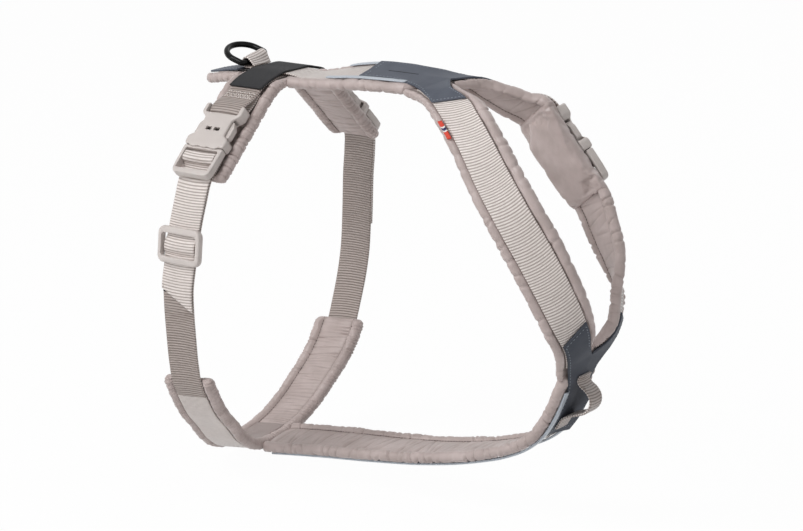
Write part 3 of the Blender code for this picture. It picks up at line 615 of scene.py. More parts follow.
class Bench:
    """The nodes of one material, laid down step by step."""

    def __init__(self, tree: bpy.types.NodeTree, shader: bpy.types.Node) -> None:
        """Take the coordinates that patterns use.

        Args:
            tree: The material's tree.
            shader: Its surface shader.
        """
        self.tree = tree
        self.shader = shader
        place = add_node(tree, "ShaderNodeTexCoord")
        self.solid = place.outputs["Object"]
        split = add_node(tree, "ShaderNodeSeparateXYZ", links={0: place.outputs["UV"]})
        self.along = split.outputs["X"]
        self.across = split.outputs["Y"]

    def calc(self, operation: str, *terms: Socket | float, clamp: bool = False) -> Socket:
        """Work out one sum.

        Args:
            operation: The sum's name.
            *terms: Sockets or numbers.
            clamp: Whether the answer stays between 0 and 1.

        Returns:
            The answer.
        """
        inputs = {i: term for i, term in enumerate(terms) if isinstance(term, float)}
        links = {i: term for i, term in enumerate(terms) if not isinstance(term, float)}
        node = add_node(self.tree, "ShaderNodeMath", inputs, links, operation=operation, use_clamp=clamp)
        return node.outputs[0]

    def wave(self, value: Socket, pitch: float) -> Socket:
        """A sine wave of that pitch along a value."""
        return self.calc("SINE", self.calc("MULTIPLY", value, 2 * pi / pitch))

    def spread(self, value: Socket, low: float, high: float, start: float, end: float) -> Socket:
        """A value mapped from low and high to start and end, and no further."""
        node = add_node(self.tree, "ShaderNodeMapRange", {1: low, 2: high, 3: start, 4: end}, {0: value})
        return node.outputs[0]

    def noise(self, size: float, detail: float = 2.0) -> Socket:
        """Cloudy noise whose clouds are about that many millimetres."""
        inputs = {"Scale": 1 / (size * MM), "Detail": detail}
        return add_node(self.tree, "ShaderNodeTexNoise", inputs, {"Vector": self.solid}).outputs["Fac"]

    def cells(self, size: float) -> Socket:
        """Distance from the middle of cells of about that many millimetres."""
        node = add_node(self.tree, "ShaderNodeTexVoronoi", {"Scale": 1 / (size * MM)}, {"Vector": self.solid})
        return node.outputs["Distance"]

    def ridge(self, low: float, high: float, start: float, end: float) -> Socket:
        """How far a place is a fold or a ridge, mapped from low and high to start and end."""
        shape = add_node(self.tree, "ShaderNodeNewGeometry")
        return self.spread(shape.outputs["Pointiness"], low, high, start, end)

    def mix(self, first: str | Socket, second: str | Socket, share: Socket) -> Socket:
        """Mix two colours.

        Args:
            first: A hex colour or a socket.
            second: A hex colour or a socket.
            share: How much of the second shows.

        Returns:
            The colour.
        """
        pair = {6: first, 7: second}
        inputs = {i: linear(colour) for i, colour in pair.items() if isinstance(colour, str)}
        links = {i: colour for i, colour in pair.items() if not isinstance(colour, str)}
        return add_node(self.tree, "ShaderNodeMix", inputs, {0: share, **links}, data_type="RGBA").outputs[2]

    def feed(self, name: str, source: Socket) -> None:
        """Feed one of the shader's inputs."""
        self.tree.links.new(source, self.shader.inputs[name])

    def relief(self, height: Socket, depth: float) -> None:
        """Give the surface a fine relief that many millimetres deep."""
        inputs = {"Strength": 1.0, "Distance": depth * MM}
        bump = add_node(self.tree, "ShaderNodeBump", inputs, {"Height": height})
        self.feed("Normal", bump.outputs["Normal"])


@dataclass(frozen=True)
class Finish:
    """A material: its name, colour and gloss, with the pattern that its own class draws."""

    name: str
    colour: str
    shade: str
    roughness: float
    specular: float = 0.5
    sheen: float = 0.0
    coat: float = 0.0

    def material(self) -> bpy.types.Material:
        """Give the material, made the first time."""
        found = bpy.data.materials.get(self.name)
        if found is not None:
            return found
        material = bpy.data.materials.new(self.name)
        material.use_nodes = True
        shader = material.node_tree.nodes["Principled BSDF"]
        values = {
            "Base Color": linear(self.colour),
            "Roughness": self.roughness,
            "Specular IOR Level": self.specular,
            "Sheen Weight": self.sheen,
            "Sheen Roughness": 0.4,
            "Coat Weight": self.coat,
            "Coat Roughness": 0.12,
        }
        for name, value in values.items():
            shader.inputs[name].default_value = value
        material.diffuse_color = linear(self.colour)
        self.pattern(Bench(material.node_tree, shader))
        return material

    def pattern(self, bench: Bench) -> None:
        """Draw the finish's own pattern. The plain finish has none."""


@dataclass(frozen=True)
class PackCloth(Finish):
    """Woven nylon pack cloth: a satin gloss, a fine square weave, and painted shade that makes the folds
    darker than the puffs.
    """

    thread: float = 0.8

    def pattern(self, bench: Bench) -> None:
        """Clouds, painted shade in the folds, small creases, and a weave at twice its real 0.4 mm so that it
        shows.
        """
        wash = bench.spread(bench.noise(16.0, 4.0), 0.3, 0.7, 0.62, 1.0)
        # Painted shade: concave folds, found by pointiness, mix toward the shade colour.
        share = bench.calc("MULTIPLY", wash, bench.ridge(0.4, 0.5, 0.0, 1.0), clamp=True)
        weave = bench.calc(
            "MULTIPLY", bench.wave(bench.along, self.thread), bench.wave(bench.across, self.thread)
        )
        bench.feed("Base Color", bench.mix(self.shade, self.colour, share))
        fine = bench.calc("MULTIPLY_ADD", weave, 0.35, bench.noise(1.6))
        bench.relief(bench.calc("MULTIPLY_ADD", bench.noise(7.0, 1.0), 11.0, fine), 0.06)


@dataclass(frozen=True)
class RibbedWebbing(Finish):
    """Woven nylon webbing: ribs in its own colour with painted shade in the gaps between them, fine warp
    threads, and one face paler than the other, partly by weave and partly by a painted highlight.
    """

    # The pale face's rib and gap colours are partly the webbing's paler side and partly a painted satin
    # highlight.
    pale: str = "F0E8E4"
    pale_gap_with_highlight: str = "A0938D"
    warp: float = 1.05

    def pattern(self, bench: Bench) -> None:
        """Ribs follow the strip's own map, one to each unit. The warp is drawn twice as wide as it is."""
        rib = bench.calc("ABSOLUTE", bench.wave(bench.along, 2.0))
        warp = bench.wave(bench.across, self.warp)
        tone = bench.spread(bench.noise(3.0), 0.3, 0.7, 0.84, 1.0)
        # Painted shade: the gaps between ribs take the dark shade colour.
        share = bench.calc("MULTIPLY_ADD", warp, 0.05, bench.spread(rib, 0.25, 0.95, 0.0, 1.0))
        share = bench.calc("MULTIPLY", share, tone, clamp=True)
        # Where the strip is marked pale, its paler colours are partly a painted highlight.
        face = bench.calc("GREATER_THAN", bench.across, PALE_AND_HIGHLIGHT_FACE / 2)
        light = bench.mix(self.colour, self.pale, face)
        bench.feed("Base Color", bench.mix(bench.mix(self.shade, self.pale_gap_with_highlight, face), light, share))
        bench.relief(bench.calc("MULTIPLY_ADD", warp, 0.5, 0.5), 0.05)


@dataclass(frozen=True)
class MouldedPlastic(Finish):
    """Moulded acetal: an even satin skin with a fine spark eroded grain, and a painted highlight that makes
    its sharp edges paler.
    """

    grain: float = 0.45

    def pattern(self, bench: Bench) -> None:
        """Grain on the mould's own scale, a slow drift of tone and a painted highlight on the sharp edges."""
        grain = bench.noise(self.grain)
        tone = bench.spread(bench.noise(14.0, 3.0), 0.3, 0.7, 0.55, 0.9)
        # Painted highlight: convex edges, found by pointiness, mix toward the paler colour.
        share = bench.calc("ADD", tone, bench.ridge(0.52, 0.6, 0.0, 0.35), clamp=True)
        bench.feed("Base Color", bench.mix(self.shade, self.colour, share))
        bench.feed("Roughness", bench.spread(grain, 0.0, 1.0, self.roughness - 0.06, self.roughness + 0.08))
        bench.relief(grain, 0.025)


@dataclass(frozen=True)
class CoatedPatch(Finish):
    """Coated microfibre: matt, finely pebbled, with paler scuffs."""

    pebble: float = 0.7

    def pattern(self, bench: Bench) -> None:
        """Pebbles drawn at 0.7 mm so that they show, and slow scuffs."""
        share = bench.spread(bench.noise(9.0, 6.0), 0.35, 0.68, 0.45, 1.0)
        bench.feed("Base Color", bench.mix(self.shade, self.colour, share))
        bench.relief(bench.cells(self.pebble), 0.05)


@dataclass(frozen=True)
class WovenLabel(Finish):
    """Damask label ribbon: a tight twill, matt, with a slightly darker selvedge."""

    twill: float = 1.0
    half: float = 14.0

    def pattern(self, bench: Bench) -> None:
        """Slanting twill lines and a border, both from the strip's own map."""
        slope = bench.calc("MULTIPLY_ADD", bench.along, RIB_PITCH, bench.across)
        lines = bench.wave(slope, self.twill)
        edge = bench.calc("ABSOLUTE", bench.calc("SUBTRACT", bench.across, 1.0))
        inside = bench.spread(edge, self.half - 1.2, self.half - 1.9, 0.1, 0.85)
        share = bench.calc("MULTIPLY_ADD", lines, 0.12, inside, clamp=True)
        bench.feed("Base Color", bench.mix(self.shade, self.colour, share))
        bench.relief(lines, 0.03)


@dataclass(frozen=True)
class ReflectiveTape(Finish):
    """Reflective tape: pale grey with tiny glass beads that glitter a little."""

    bead: float = 0.5

    def pattern(self, bench: Bench) -> None:
        """Beads drawn at 0.5 mm, far coarser than they are, so that they show."""
        share = bench.spread(bench.cells(self.bead), 0.6, 0.1, 0.3, 1.0)
        bench.feed("Base Color", bench.mix(self.shade, self.colour, share))
        bench.relief(share, 0.04)


@dataclass(frozen=True)
class EnamelledWire(Finish):
    """Steel wire under black enamel: a deep gloss, slightly uneven, greyer where it is rubbed."""

    ripple: float = 3.0

    def pattern(self, bench: Bench) -> None:
        """A slow ripple in the gloss and a few rubbed places."""
        ripple = bench.noise(self.ripple, 4.0)
        rubbed = bench.spread(ripple, 0.68, 0.5, 0.4, 1.0)
        bench.feed("Base Color", bench.mix(self.shade, self.colour, rubbed))
        bench.feed("Roughness", bench.spread(ripple, 0.0, 1.0, self.roughness - 0.05, self.roughness + 0.12))
        bench.relief(ripple, 0.04)


@dataclass(frozen=True)
class BandedRibbon(Finish):
    """Woven ribbon in plain bands along its length: the colour, white, and the shade in the middle."""

    length: float = 14.0
    white: str = "EDEAE8"

    def pattern(self, bench: Bench) -> None:
        """Bands from the strip's own map, and threads across it."""
        away = bench.calc("MULTIPLY_ADD", bench.along, RIB_PITCH / self.length, -0.5)
        away = bench.calc("ABSOLUTE", away)
        inner = bench.mix(self.shade, self.white, bench.calc("GREATER_THAN", away, 0.07))
        bands = bench.mix(inner, self.colour, bench.calc("GREATER_THAN", away, 0.145))
        bench.feed("Base Color", bands)
        bench.relief(bench.wave(bench.across, 0.8), 0.04)


@dataclass(frozen=True)
class SewingThread(Finish):
    """Bonded polyester thread: a soft gloss with a slight twist."""

    twist: float = 0.9

    def pattern(self, bench: Bench) -> None:
        """The twist, as a fine mottling."""
        twist = bench.noise(self.twist, 1.0)
        bench.feed("Base Color", bench.mix(self.shade, self.colour, twist))
        bench.relief(twist, 0.05)


# The second colour of each pack cloth is painted shade for its folds.
PADDING = PackCloth("nylon_pack_cloth", "C6B7B4", "86766F", 0.4, specular=0.5, sheen=0.12)
LINING = PackCloth("nylon_lining_cloth", "A89B98", "8A7D7A", 0.55, specular=0.35, sheen=0.1)
# The webbing's second colour is painted shade for the gaps between its ribs.
WEBBING = RibbedWebbing("ribbed_nylon_webbing", "B8ABA5", "6C5F58", 0.34, specular=0.6, sheen=0.08)
PLASTIC = MouldedPlastic("moulded_acetal", "D3CBC7", "C3BAB6", 0.4, specular=0.45)
PATCH = CoatedPatch("coated_microfibre", "575C67", "4A4F5A", 0.62, specular=0.3)
# A darker copy of the patch microfibre: painted shade for the chest patch.
SHADED_CHEST_MICROFIBRE = CoatedPatch("coated_microfibre_painted_shade", "4A4E57", "3D414A", 0.64, specular=0.25)
LABEL = WovenLabel("damask_label", "363638", "262628", 0.75, specular=0.2)
EDGING = ReflectiveTape("reflective_tape", "C9D2DC", "A7AFB9", 0.34, specular=0.6)
RING = EnamelledWire("enamelled_steel_wire", "040405", "0C0C0D", 0.24, specular=0.12)
TAG = BandedRibbon("banded_ribbon", "DC4A38", "2B2D5A", 0.6, specular=0.3)
THREAD = SewingThread("pale_polyester_thread", "F0E9E5", "D0C7C3", 0.5)
SLATE_THREAD = SewingThread("slate_polyester_thread", "98A0AA", "787F89", 0.5)
SEAM_THREAD = SewingThread("brown_polyester_thread", "5C504E", "473C3A", 0.6)


def settle(
    name: str,
    mesh: Mesh,
    finish: Finish,
    nodes: Sequence[str] = (),
    body: str = "harness",
    span: tuple[Sequence[float], Sequence[float]] | None = None,
) -> Piece:
    """Put a finished mesh on the harness, hide the solids that it replaces, and log it.

    Args:
        name: The piece's name.
        mesh: Its mesh, already in place.
        finish: Its material.
        nodes: The solids that it replaces.
        body: The body that it follows; where it has a span, the body is only logged.
        span: Where a strip leaves the harness and where it has joined the body, in metres. Only whether it is
            given is used; its points are not used, and such a piece is baked in place on no body.

    Returns:
        The piece.
    """
    mesh.materials.clear()
    mesh.materials.append(finish.material())
    piece = carried(name, mesh)
    hold = Hold.RIDE if span is None else Hold.BLEND
    if hold is Hold.RIDE:
        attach(piece, body)
    else:
        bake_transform(piece)
    if nodes:
        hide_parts(*nodes)
    LOG.info("%s: %d faces, %s %s", name, len(mesh.polygons), hold.value, body)
    return piece


@dataclass(frozen=True)
class Gather:
    """Small folds that a sewn roll shows across its length."""

    pitch: float
    depth: float
    seed: int

    def relief(self, along: Array, angle: Array) -> Array:
        """Give the height of the folds, which dip sharply between soft puffs.

        Args:
            along: Distances along the roll.
            angle: Places round it, in radians from its outer side.

        Returns:
            Heights in millimetres, by distance and place.
        """
        chance = np.random.default_rng(self.seed)
        low, high = float(along.min()), float(along.max())
        count = int((high - low) / self.pitch * 1.6) + 6
        spots = low + np.cumsum(chance.gamma(14.0, self.pitch / 14.0, size=count))
        height = np.zeros((len(along), len(angle)))
        for spot in spots[spots < high]:
            middle = chance.uniform(-1.5, 1.5)
            spread = chance.uniform(1.3, 2.6)
            lean = chance.normal(0.0, self.pitch * 0.12)
            width = max(0.5, self.pitch * chance.uniform(0.1, 0.19))
            depth = self.depth * chance.uniform(0.35, 1.0)
            near = np.abs(along - spot) < 5.0 * width + 3.5 * abs(lean)
            offset = np.abs(along[near, None] - spot - lean * angle[None, :]) / width
            fade = np.exp(-(((angle - middle) / spread) ** 2))
            puff = 0.22 * np.exp(-((offset - 2.2) ** 2))
            height[near] += depth * (puff - np.exp(-(offset**1.4))) * fade
        for stretch in (2.3, 4.1, 7.7):
            phase = chance.uniform(0.0, 2 * pi)
            wave = np.sin(2 * pi * along / (self.pitch * stretch) + phase)[:, None]
            height += 0.14 * self.depth * wave * np.cos(angle * 0.5 + phase)[None, :]
        return height


@dataclass
class PaddedStrap:
    """A padded strap: a flat channel between two rolled edges that the seams gather."""

    name: str
    lane: Lane
    knots: list[tuple[float, float, float]]
    gather: Gather
    crown: float = 1.1
    ends: tuple[float, float] = (0.0, 0.0)
    spacing: float = 0.55
    tube: int = 22
    top: int = 7
    foot: int = 15

    def rounding(self, along: Array) -> Array:
        """Give how far the strap is open at each distance, from 0 at a rounded end to 1."""
        share = np.ones_like(along)
        for gap, radius in zip((along - along[0], along[-1] - along), self.ends):
            if radius:
                near = np.clip(gap / radius, 0.0, 1.0)
                share *= np.sqrt(np.clip(1.0 - (1.0 - near) ** 2, 0.02, 1.0))
        return share

    def mesh(self) -> Mesh:
        """Sweep the strap's section, gather its rolls and crown its inner face.

        Returns:
            A closed mesh.
        """
        table = np.array(sorted(self.knots))
        count = int((table[-1, 0] - table[0, 0]) / self.spacing) + 2
        along = np.linspace(table[0, 0], table[-1, 0], count)
        half = np.interp(along, table[:, 0], table[:, 1])[:, None]
        roll = np.maximum(np.interp(along, table[:, 0], table[:, 2]), CHANNEL * 1.01)[:, None]
        lip = np.arcsin(CHANNEL / roll)
        sweep = np.linspace(-1.0, 1.0, self.tube)[None, :]
        angle = sweep * (pi - lip)
        sides = []
        for side, seed in ((1.0, 0), (-1.0, 1)):
            folds = Gather(self.gather.pitch, self.gather.depth, self.gather.seed + seed)
            bulge = roll + folds.relief(along, sweep[0] * 2.6)
            sides.append((side * (half - roll + bulge * np.cos(angle)), bulge * np.sin(angle)))
        edge = half - roll - roll * np.cos(lip)
        share = np.linspace(1.0, -1.0, self.top + 2)[None, 1:-1]
        over = (edge * share, np.full((count, self.top), CHANNEL))
        share = np.linspace(-1.0, 1.0, self.foot + 2)[None, 1:-1]
        folds = Gather(self.gather.pitch, self.gather.depth * 0.8, self.gather.seed + 2)
        ruffle = folds.relief(along, share[0] * 2.6) * (0.6 + np.abs(share))
        under = (edge * share, -CHANNEL - self.crown * (1.0 - share**2) ** 0.7 - ruffle)
        (right_w, right_n), (left_w, left_n) = sides
        across = np.concatenate((right_w, over[0], left_w[:, ::-1], under[0]), axis=1)
        out = np.concatenate((right_n, over[1], left_n[:, ::-1], under[1]), axis=1)
        open_share = self.rounding(along)[:, None]
        out = out * open_share
        across = across * (1.0 - (1.0 - open_share) * roll / half)
        spots = self.lane.points(np.broadcast_to(along[:, None], across.shape), across, out)
        ring = np.diff(np.stack((across[count // 2], out[count // 2])), axis=1, append=0.0)
        girth = np.concatenate(([0.0], np.cumsum(np.hypot(*ring))))
        marks = np.stack(np.meshgrid(along, girth, indexing="ij"), axis=-1)
        return wrapped_skin(self.name, spots, marks)


@dataclass
class WebStrip:
    """A woven strip along a path of distances along a lane and out of it."""

    name: str
    lane: Lane
    path: Path
    half: float | Sequence[float] = WEB_HALF
    thick: float = WEB_THICK
    middle: float = 0.0
    rib: float = 0.26
    bow: float = 0.7
    spacing: float = RIB_PITCH / 6
    pitch: float = RIB_PITCH
    mark: float = PALE_AND_HIGHLIGHT_FACE
    slant: float = 0.0
    shares: tuple[float, ...] = (0.0, 0.25, 0.5, 0.7, 0.85, 0.93, 0.968, 0.99, 1.0)

    def spots(self, along: Array, out: Array, across: Array) -> Array:
        """Give points of the strip from places on its lane."""
        return self.lane.points(along, across, out)

    def mesh(self) -> Mesh:
        """Sweep the strip with a rib for each weft bundle and rounded selvedges.

        Returns:
            A closed mesh.
        """
        knots = np.array(self.path, float)
        fine = smooth_run(knots, 8)
        run = np.concatenate(([0.0], np.cumsum(np.linalg.norm(np.diff(fine[:, :2], axis=0), axis=1))))
        places = np.linspace(0.0, run[-1], max(4, int(run[-1] / self.spacing)) + 1)
        line = np.stack([np.interp(places, run, fine[:, i]) for i in range(fine.shape[1])], axis=1)
        halves = np.broadcast_to(np.array(self.half, float), len(knots))
        turns = np.interp(places, run, np.arange(len(fine)) / 8)
        half = np.interp(turns, np.arange(len(knots)), halves)[:, None]
        heading = np.gradient(line[:, :2], places, axis=0)
        face = np.stack((-heading[:, 1], heading[:, 0]), axis=1)
        face = face / np.linalg.norm(face, axis=1)[:, None]
        one_side = np.array(self.shares)
        top = np.concatenate((-one_side[:0:-1], one_side))
        share = np.concatenate((top, top[-2:0:-1]))[None, :]
        sign = np.concatenate((np.ones(len(top)), -np.ones(len(top) - 2)))[None, :]
        drift = 0.35 * np.sin(places / 13.0) + 0.2 * np.sin(places / 5.3 + 1.0)
        turn = (places[:, None] + drift[:, None] + self.bow * share**2) / self.pitch
        rib = np.abs(np.sin(pi * turn)) ** 0.8 * (0.9 + 0.1 * np.sin(2.4 * np.floor(turn)))
        near = np.clip(half * (1.0 - np.abs(share)) / (self.thick / 2), 0.0, 1.0)
        cap = np.sqrt(1.0 - (1.0 - near) ** 2)
        lift = sign * cap * (self.thick / 2 + self.rib * (rib - 0.6))
        across = self.middle + share * (half + self.rib * 0.6 * (rib - 0.6))
        along = line[:, 0][:, None] + face[:, 0][:, None] * lift
        out = line[:, 1][:, None] + face[:, 1][:, None] * lift
        rest = np.broadcast_to(line[:, 2:3], across.shape) if line.shape[1] > 2 else None
        if rest is None:
            spots = self.spots(along, out, across)
        else:
            spots = self.rolled_spots(along, out, across, rest)
        turn = np.concatenate((turn, turn[:, :1]), axis=1)
        # The outer face gets the pale mark: partly its own paler side, partly a painted highlight.
        across = across + self.mark * (sign > 0.0)
        across = np.concatenate((across, across[:, :1]), axis=1)
        mesh = wrapped_skin(self.name, spots, np.stack((turn, across), axis=-1))
        if self.slant:
            self.cut(mesh, line[-1])
        return mesh

    def rolled_spots(self, along: Array, out: Array, across: Array, rolled: Array) -> Array:
        """Give points of a strip that also rolls on its way. A plain strip doesn't."""
        return self.spots(along, out, across)

    def cut(self, mesh: Mesh, end: Array) -> None:
        """Cut the strip's end on a slant.

        Args:
            mesh: The strip's mesh, which is changed.
            end: The end of its path.
        """
        centre, side, up = (column[0] for column in self.lane.frames(np.array(end[:1])))
        heading = np.cross(up, side)
        ahead = self.lane.frames(np.array(end[:1]) + 1.0)[0][0] - centre
        heading = heading * np.sign(heading @ ahead)
        reach = abs(self.slant) * float(np.max(self.half))
        root = Vector((centre - heading * reach) * MM)
        floor = (end[1] - self.thick * 0.75) * MM
        form = bmesh.new()
        form.from_mesh(mesh)
        upper = [v for v in form.verts if (v.co - Vector(centre) * MM).dot(Vector(up)) > floor]
        tail = {v for v in upper if (v.co - root).dot(Vector(heading)) > -3.0 * reach * MM}
        faces = [face for face in form.faces if tail.issuperset(face.verts)]
        edges = {edge for face in faces for edge in face.edges}
        bmesh.ops.bisect_plane(
            form,
            geom=[*tail, *edges, *faces],
            plane_co=root,
            plane_no=Vector(heading - side * self.slant),
            clear_outer=True,
        )
        rims = [edge for edge in form.edges if edge.is_boundary]
        bmesh.ops.holes_fill(form, edges=rims, sides=0)
        form.to_mesh(mesh)
        form.free()
        mesh.shade_smooth()


@dataclass
class RingLoop(WebStrip):
    """The short loop round the lead ring's bar, whose path is x, z and how far it has rolled."""

    roll: float = radians(10.0)

    def rolled_spots(self, along: Array, out: Array, across: Array, rolled: Array) -> Array:
        """Give points of the loop, rolled with the bar.

        Args:
            along: Places along X.
            out: Heights.
            across: Places along Y.
            rolled: How much of the roll each has taken up.

        Returns:
            An array of points.
        """
        return np.stack((along, across, out + across * tan(self.roll) * rolled), axis=-1)


@dataclass
class ForkPatch:
    """A sewn patch whose stem forks into two arms, each half ruled from the middle to its outer edge.

    Each half has two parts, the stem and the arm, given as pairs of inner and outer points.
    """

    name: str
    halves: list[tuple[list, list]]
    facing: tuple[float, float, float]
    thick: float = PATCH_THICK
    steps: int = 9
    columns: int = 16

    def rows(self, half: tuple[list, list]) -> Array:
        """Give rows of inner and outer points, with a corner left between stem and arm."""
        stem, arm = (smooth_run([np.concatenate(pair) for pair in part], self.steps) for part in half)
        return np.concatenate((stem, arm[1:]))

    def mesh(self) -> Mesh:
        """Rule both halves, weld them along the middle, and give them thickness and eased edges.

        Returns:
            A closed mesh.
        """
        form = bmesh.new()
        share = np.linspace(0.0, 1.0, self.columns + 1)[None, :, None]
        for half in self.halves:
            rows = self.rows(half)[:, None, :]
            form.from_mesh(grid_mesh(self.name, rows[..., :3] * (1.0 - share) + rows[..., 3:] * share))
        bmesh.ops.remove_doubles(form, verts=form.verts, dist=2e-5)
        bmesh.ops.recalc_face_normals(form, faces=form.faces)
        bmesh.ops.smooth_vert(
            form, verts=form.verts, factor=0.5, use_axis_x=True, use_axis_y=True, use_axis_z=True
        )
        mesh = bpy.data.meshes.new(self.name)
        form.to_mesh(mesh)
        form.free()
        carrier = carried(self.name, mesh)
        depth = carrier.modifiers.new("depth", "SOLIDIFY")
        depth.thickness = self.thick * MM
        depth.offset = 0.0
        ease = carrier.modifiers.new("ease", "BEVEL")
        ease.width = 0.4 * MM
        ease.segments = 3
        ease.limit_method = "ANGLE"
        ease.angle_limit = radians(50.0)
        mesh = baked(carrier)
        mesh.shade_smooth()
        return mesh

    def seams(self, inset: float) -> list[Line]:
        """Give the line of stitches inside each half's outer edge, end and inner edge.

        Args:
            inset: Distance in from the edges.

        Returns:
            For each half, points and the way out at each.
        """
        lines = []
        for stem, arm in self.halves:
            rows = self.rows((stem, arm))
            fork = (len(stem) - 1) * self.steps
            inner, outer = rows[:, :3], rows[:, 3:]
            span = outer - inner
            span = span / np.linalg.norm(span, axis=1)[:, None]
            ahead = np.gradient(inner + outer, axis=0)
            up = np.cross(ahead, span)
            up = up / np.linalg.norm(up, axis=1)[:, None]
            up = up * np.sign(up @ np.array(self.facing))[:, None]
            out_line = outer - span * inset + up * self.thick / 2
            in_line = inner + span * inset + up * self.thick / 2
            trim = 4
            outline_rows = (in_line[trim : trim + 1], out_line[trim:-trim], in_line[fork + 8 : -trim][::-1])
            points = np.concatenate(outline_rows)
            ways = np.concatenate((up[trim : trim + 1], up[trim:-trim], up[fork + 8 : -trim][::-1]))
            lines.append((points, ways))
        return lines


@dataclass
class StitchRow:
    """Rows of small stitches along lines of points."""

    name: str
    lines: list[Line]
    pitch: float = 2.8
    length: float = 1.9
    width: float = 0.6

    def mesh(self) -> Mesh:
        """Lay one bead of thread for each stitch.

        Returns:
            A mesh of separate stitches, each a closed bead of 20 faces.
        """
        form = bmesh.new()
        for points, ways in self.lines:
            run = np.concatenate(([0.0], np.cumsum(np.linalg.norm(np.diff(points, axis=0), axis=1))))
            count = max(1, int(run[-1] / self.pitch))
            for middle in (np.arange(count) + 0.5) * run[-1] / count:
                span = np.array((middle - 0.4, middle, middle + 0.4))
                back, here, fore = np.stack([np.interp(span, run, points[:, i]) for i in range(3)], axis=1)
                up = Vector([np.interp(middle, run, ways[:, i]) for i in range(3)])
                ahead = Vector(fore - back).normalized()
                side = up.cross(ahead).normalized()
                turn = Matrix((ahead, side, ahead.cross(side))).transposed()
                size = Matrix.Diagonal(Vector((self.length, self.width, self.width * 0.8)) / 2 * MM)
                spot = Matrix.Translation(Vector(here) * MM) @ (turn @ size).to_4x4()
                bmesh.ops.create_icosphere(form, subdivisions=1, radius=1.0, matrix=spot)
        bmesh.ops.recalc_face_normals(form, faces=form.faces)
        mesh = bpy.data.meshes.new(self.name)
        form.to_mesh(mesh)
        form.free()
        mesh.shade_smooth()
        return mesh


class Mould:
    """Plates and blocks for the plastic parts: along the strap, across it and out of it."""

    @staticmethod
    def plate(
        name: str, outline: Sequence, levels: tuple[float, float], corner: float = 0.0, edge: float = 0.0
    ) -> Mesh:
        """Give an outline thickness, round corners and eased edges.

        Args:
            name: The mesh's name.
            outline: Points along and across, in order.
            levels: Lowest and highest.
            corner: Radius of the upright corners.
            edge: Radius of the top and bottom edges.

        Returns:
            A closed mesh in metres.
        """
        low, high = levels
        form = bmesh.new()
        face = form.faces.new([form.verts.new((s * MM, w * MM, low * MM)) for s, w in outline])
        grown = bmesh.ops.extrude_face_region(form, geom=[face])["geom"]
        rise = [item for item in grown if isinstance(item, bmesh.types.BMVert)]
        bmesh.ops.translate(form, verts=rise, vec=(0.0, 0.0, (high - low) * MM))
        bmesh.ops.recalc_face_normals(form, faces=form.faces)
        for radius, upright, segments in ((corner, True, 6), (edge, False, 4)):
            if radius:
                picked = []
                for line in form.edges:
                    stands = abs(line.verts[0].co.z - line.verts[1].co.z) > GAP * MM
                    if stands == upright:
                        picked.append(line)
                bmesh.ops.bevel(
                    form,
                    geom=picked,
                    offset=radius * MM,
                    segments=segments,
                    profile=0.5,
                    affect="EDGES",
                    material=-1,
                    clamp_overlap=True,
                )
        mesh = bpy.data.meshes.new(name)
        form.to_mesh(mesh)
        form.free()
        return mesh

    @classmethod
    def block(
        cls,
        name: str,
        along: tuple[float, float],
        half: float,
        levels: tuple[float, float],
        corner: float = 0.0,
        edge: float = 0.0,
    ) -> Mesh:
        """Give a block between two places along, as wide each side of the middle.

        Args:
            name: The mesh's name.
            along: Where it starts and ends.
            half: Half its width.
            levels: Lowest and highest.
            corner: Radius of the upright corners.
            edge: Radius of the top and bottom edges.

        Returns:
            A closed mesh in metres.
        """
        start, end = along
        outline = [(start, -half), (end, -half), (end, half), (start, half)]
        return cls.plate(name, outline, levels, corner, edge)

    @staticmethod
    def both_sides(outline: Sequence) -> list:
        """An outline given on one side of the middle, closed with its mirror image."""
        return [*outline, *[(s, -w) for s, w in reversed(outline)]]

    @staticmethod
    def carve(name: str, body: Mesh, steps: Sequence[tuple[str, Mesh]], ease: float = 0.35) -> Mesh:
        """Cut meshes from a body or join them to it, then ease every sharp edge.

        Args:
            name: The mesh's name.
            body: The mesh to start from.
            steps: Pairs of DIFFERENCE or UNION and a mesh.
            ease: Radius of the eased edges.

        Returns:
            The finished mesh.
        """
        base = carried(name, body)
        helpers = []
        for operation, mesh in steps:
            helper = carried(f"{name}_helper", mesh)
            helpers.append(helper)
            step = base.modifiers.new(operation.lower(), "BOOLEAN")
            step.operation = operation
            step.solver = "EXACT"
            step.object = helper
        if steps:
            weld = base.modifiers.new("weld", "WELD")
            weld.merge_threshold = 0.02 * MM
        soften = base.modifiers.new("ease", "BEVEL")
        soften.width = ease * MM
        soften.segments = 3
        soften.limit_method = "ANGLE"
        soften.angle_limit = radians(32.0)
        soften.profile = 0.5
        mesh = baked(base, helpers)
        mesh.shade_smooth()
        mesh.set_sharp_from_angle(angle=radians(34.0))
        return mesh


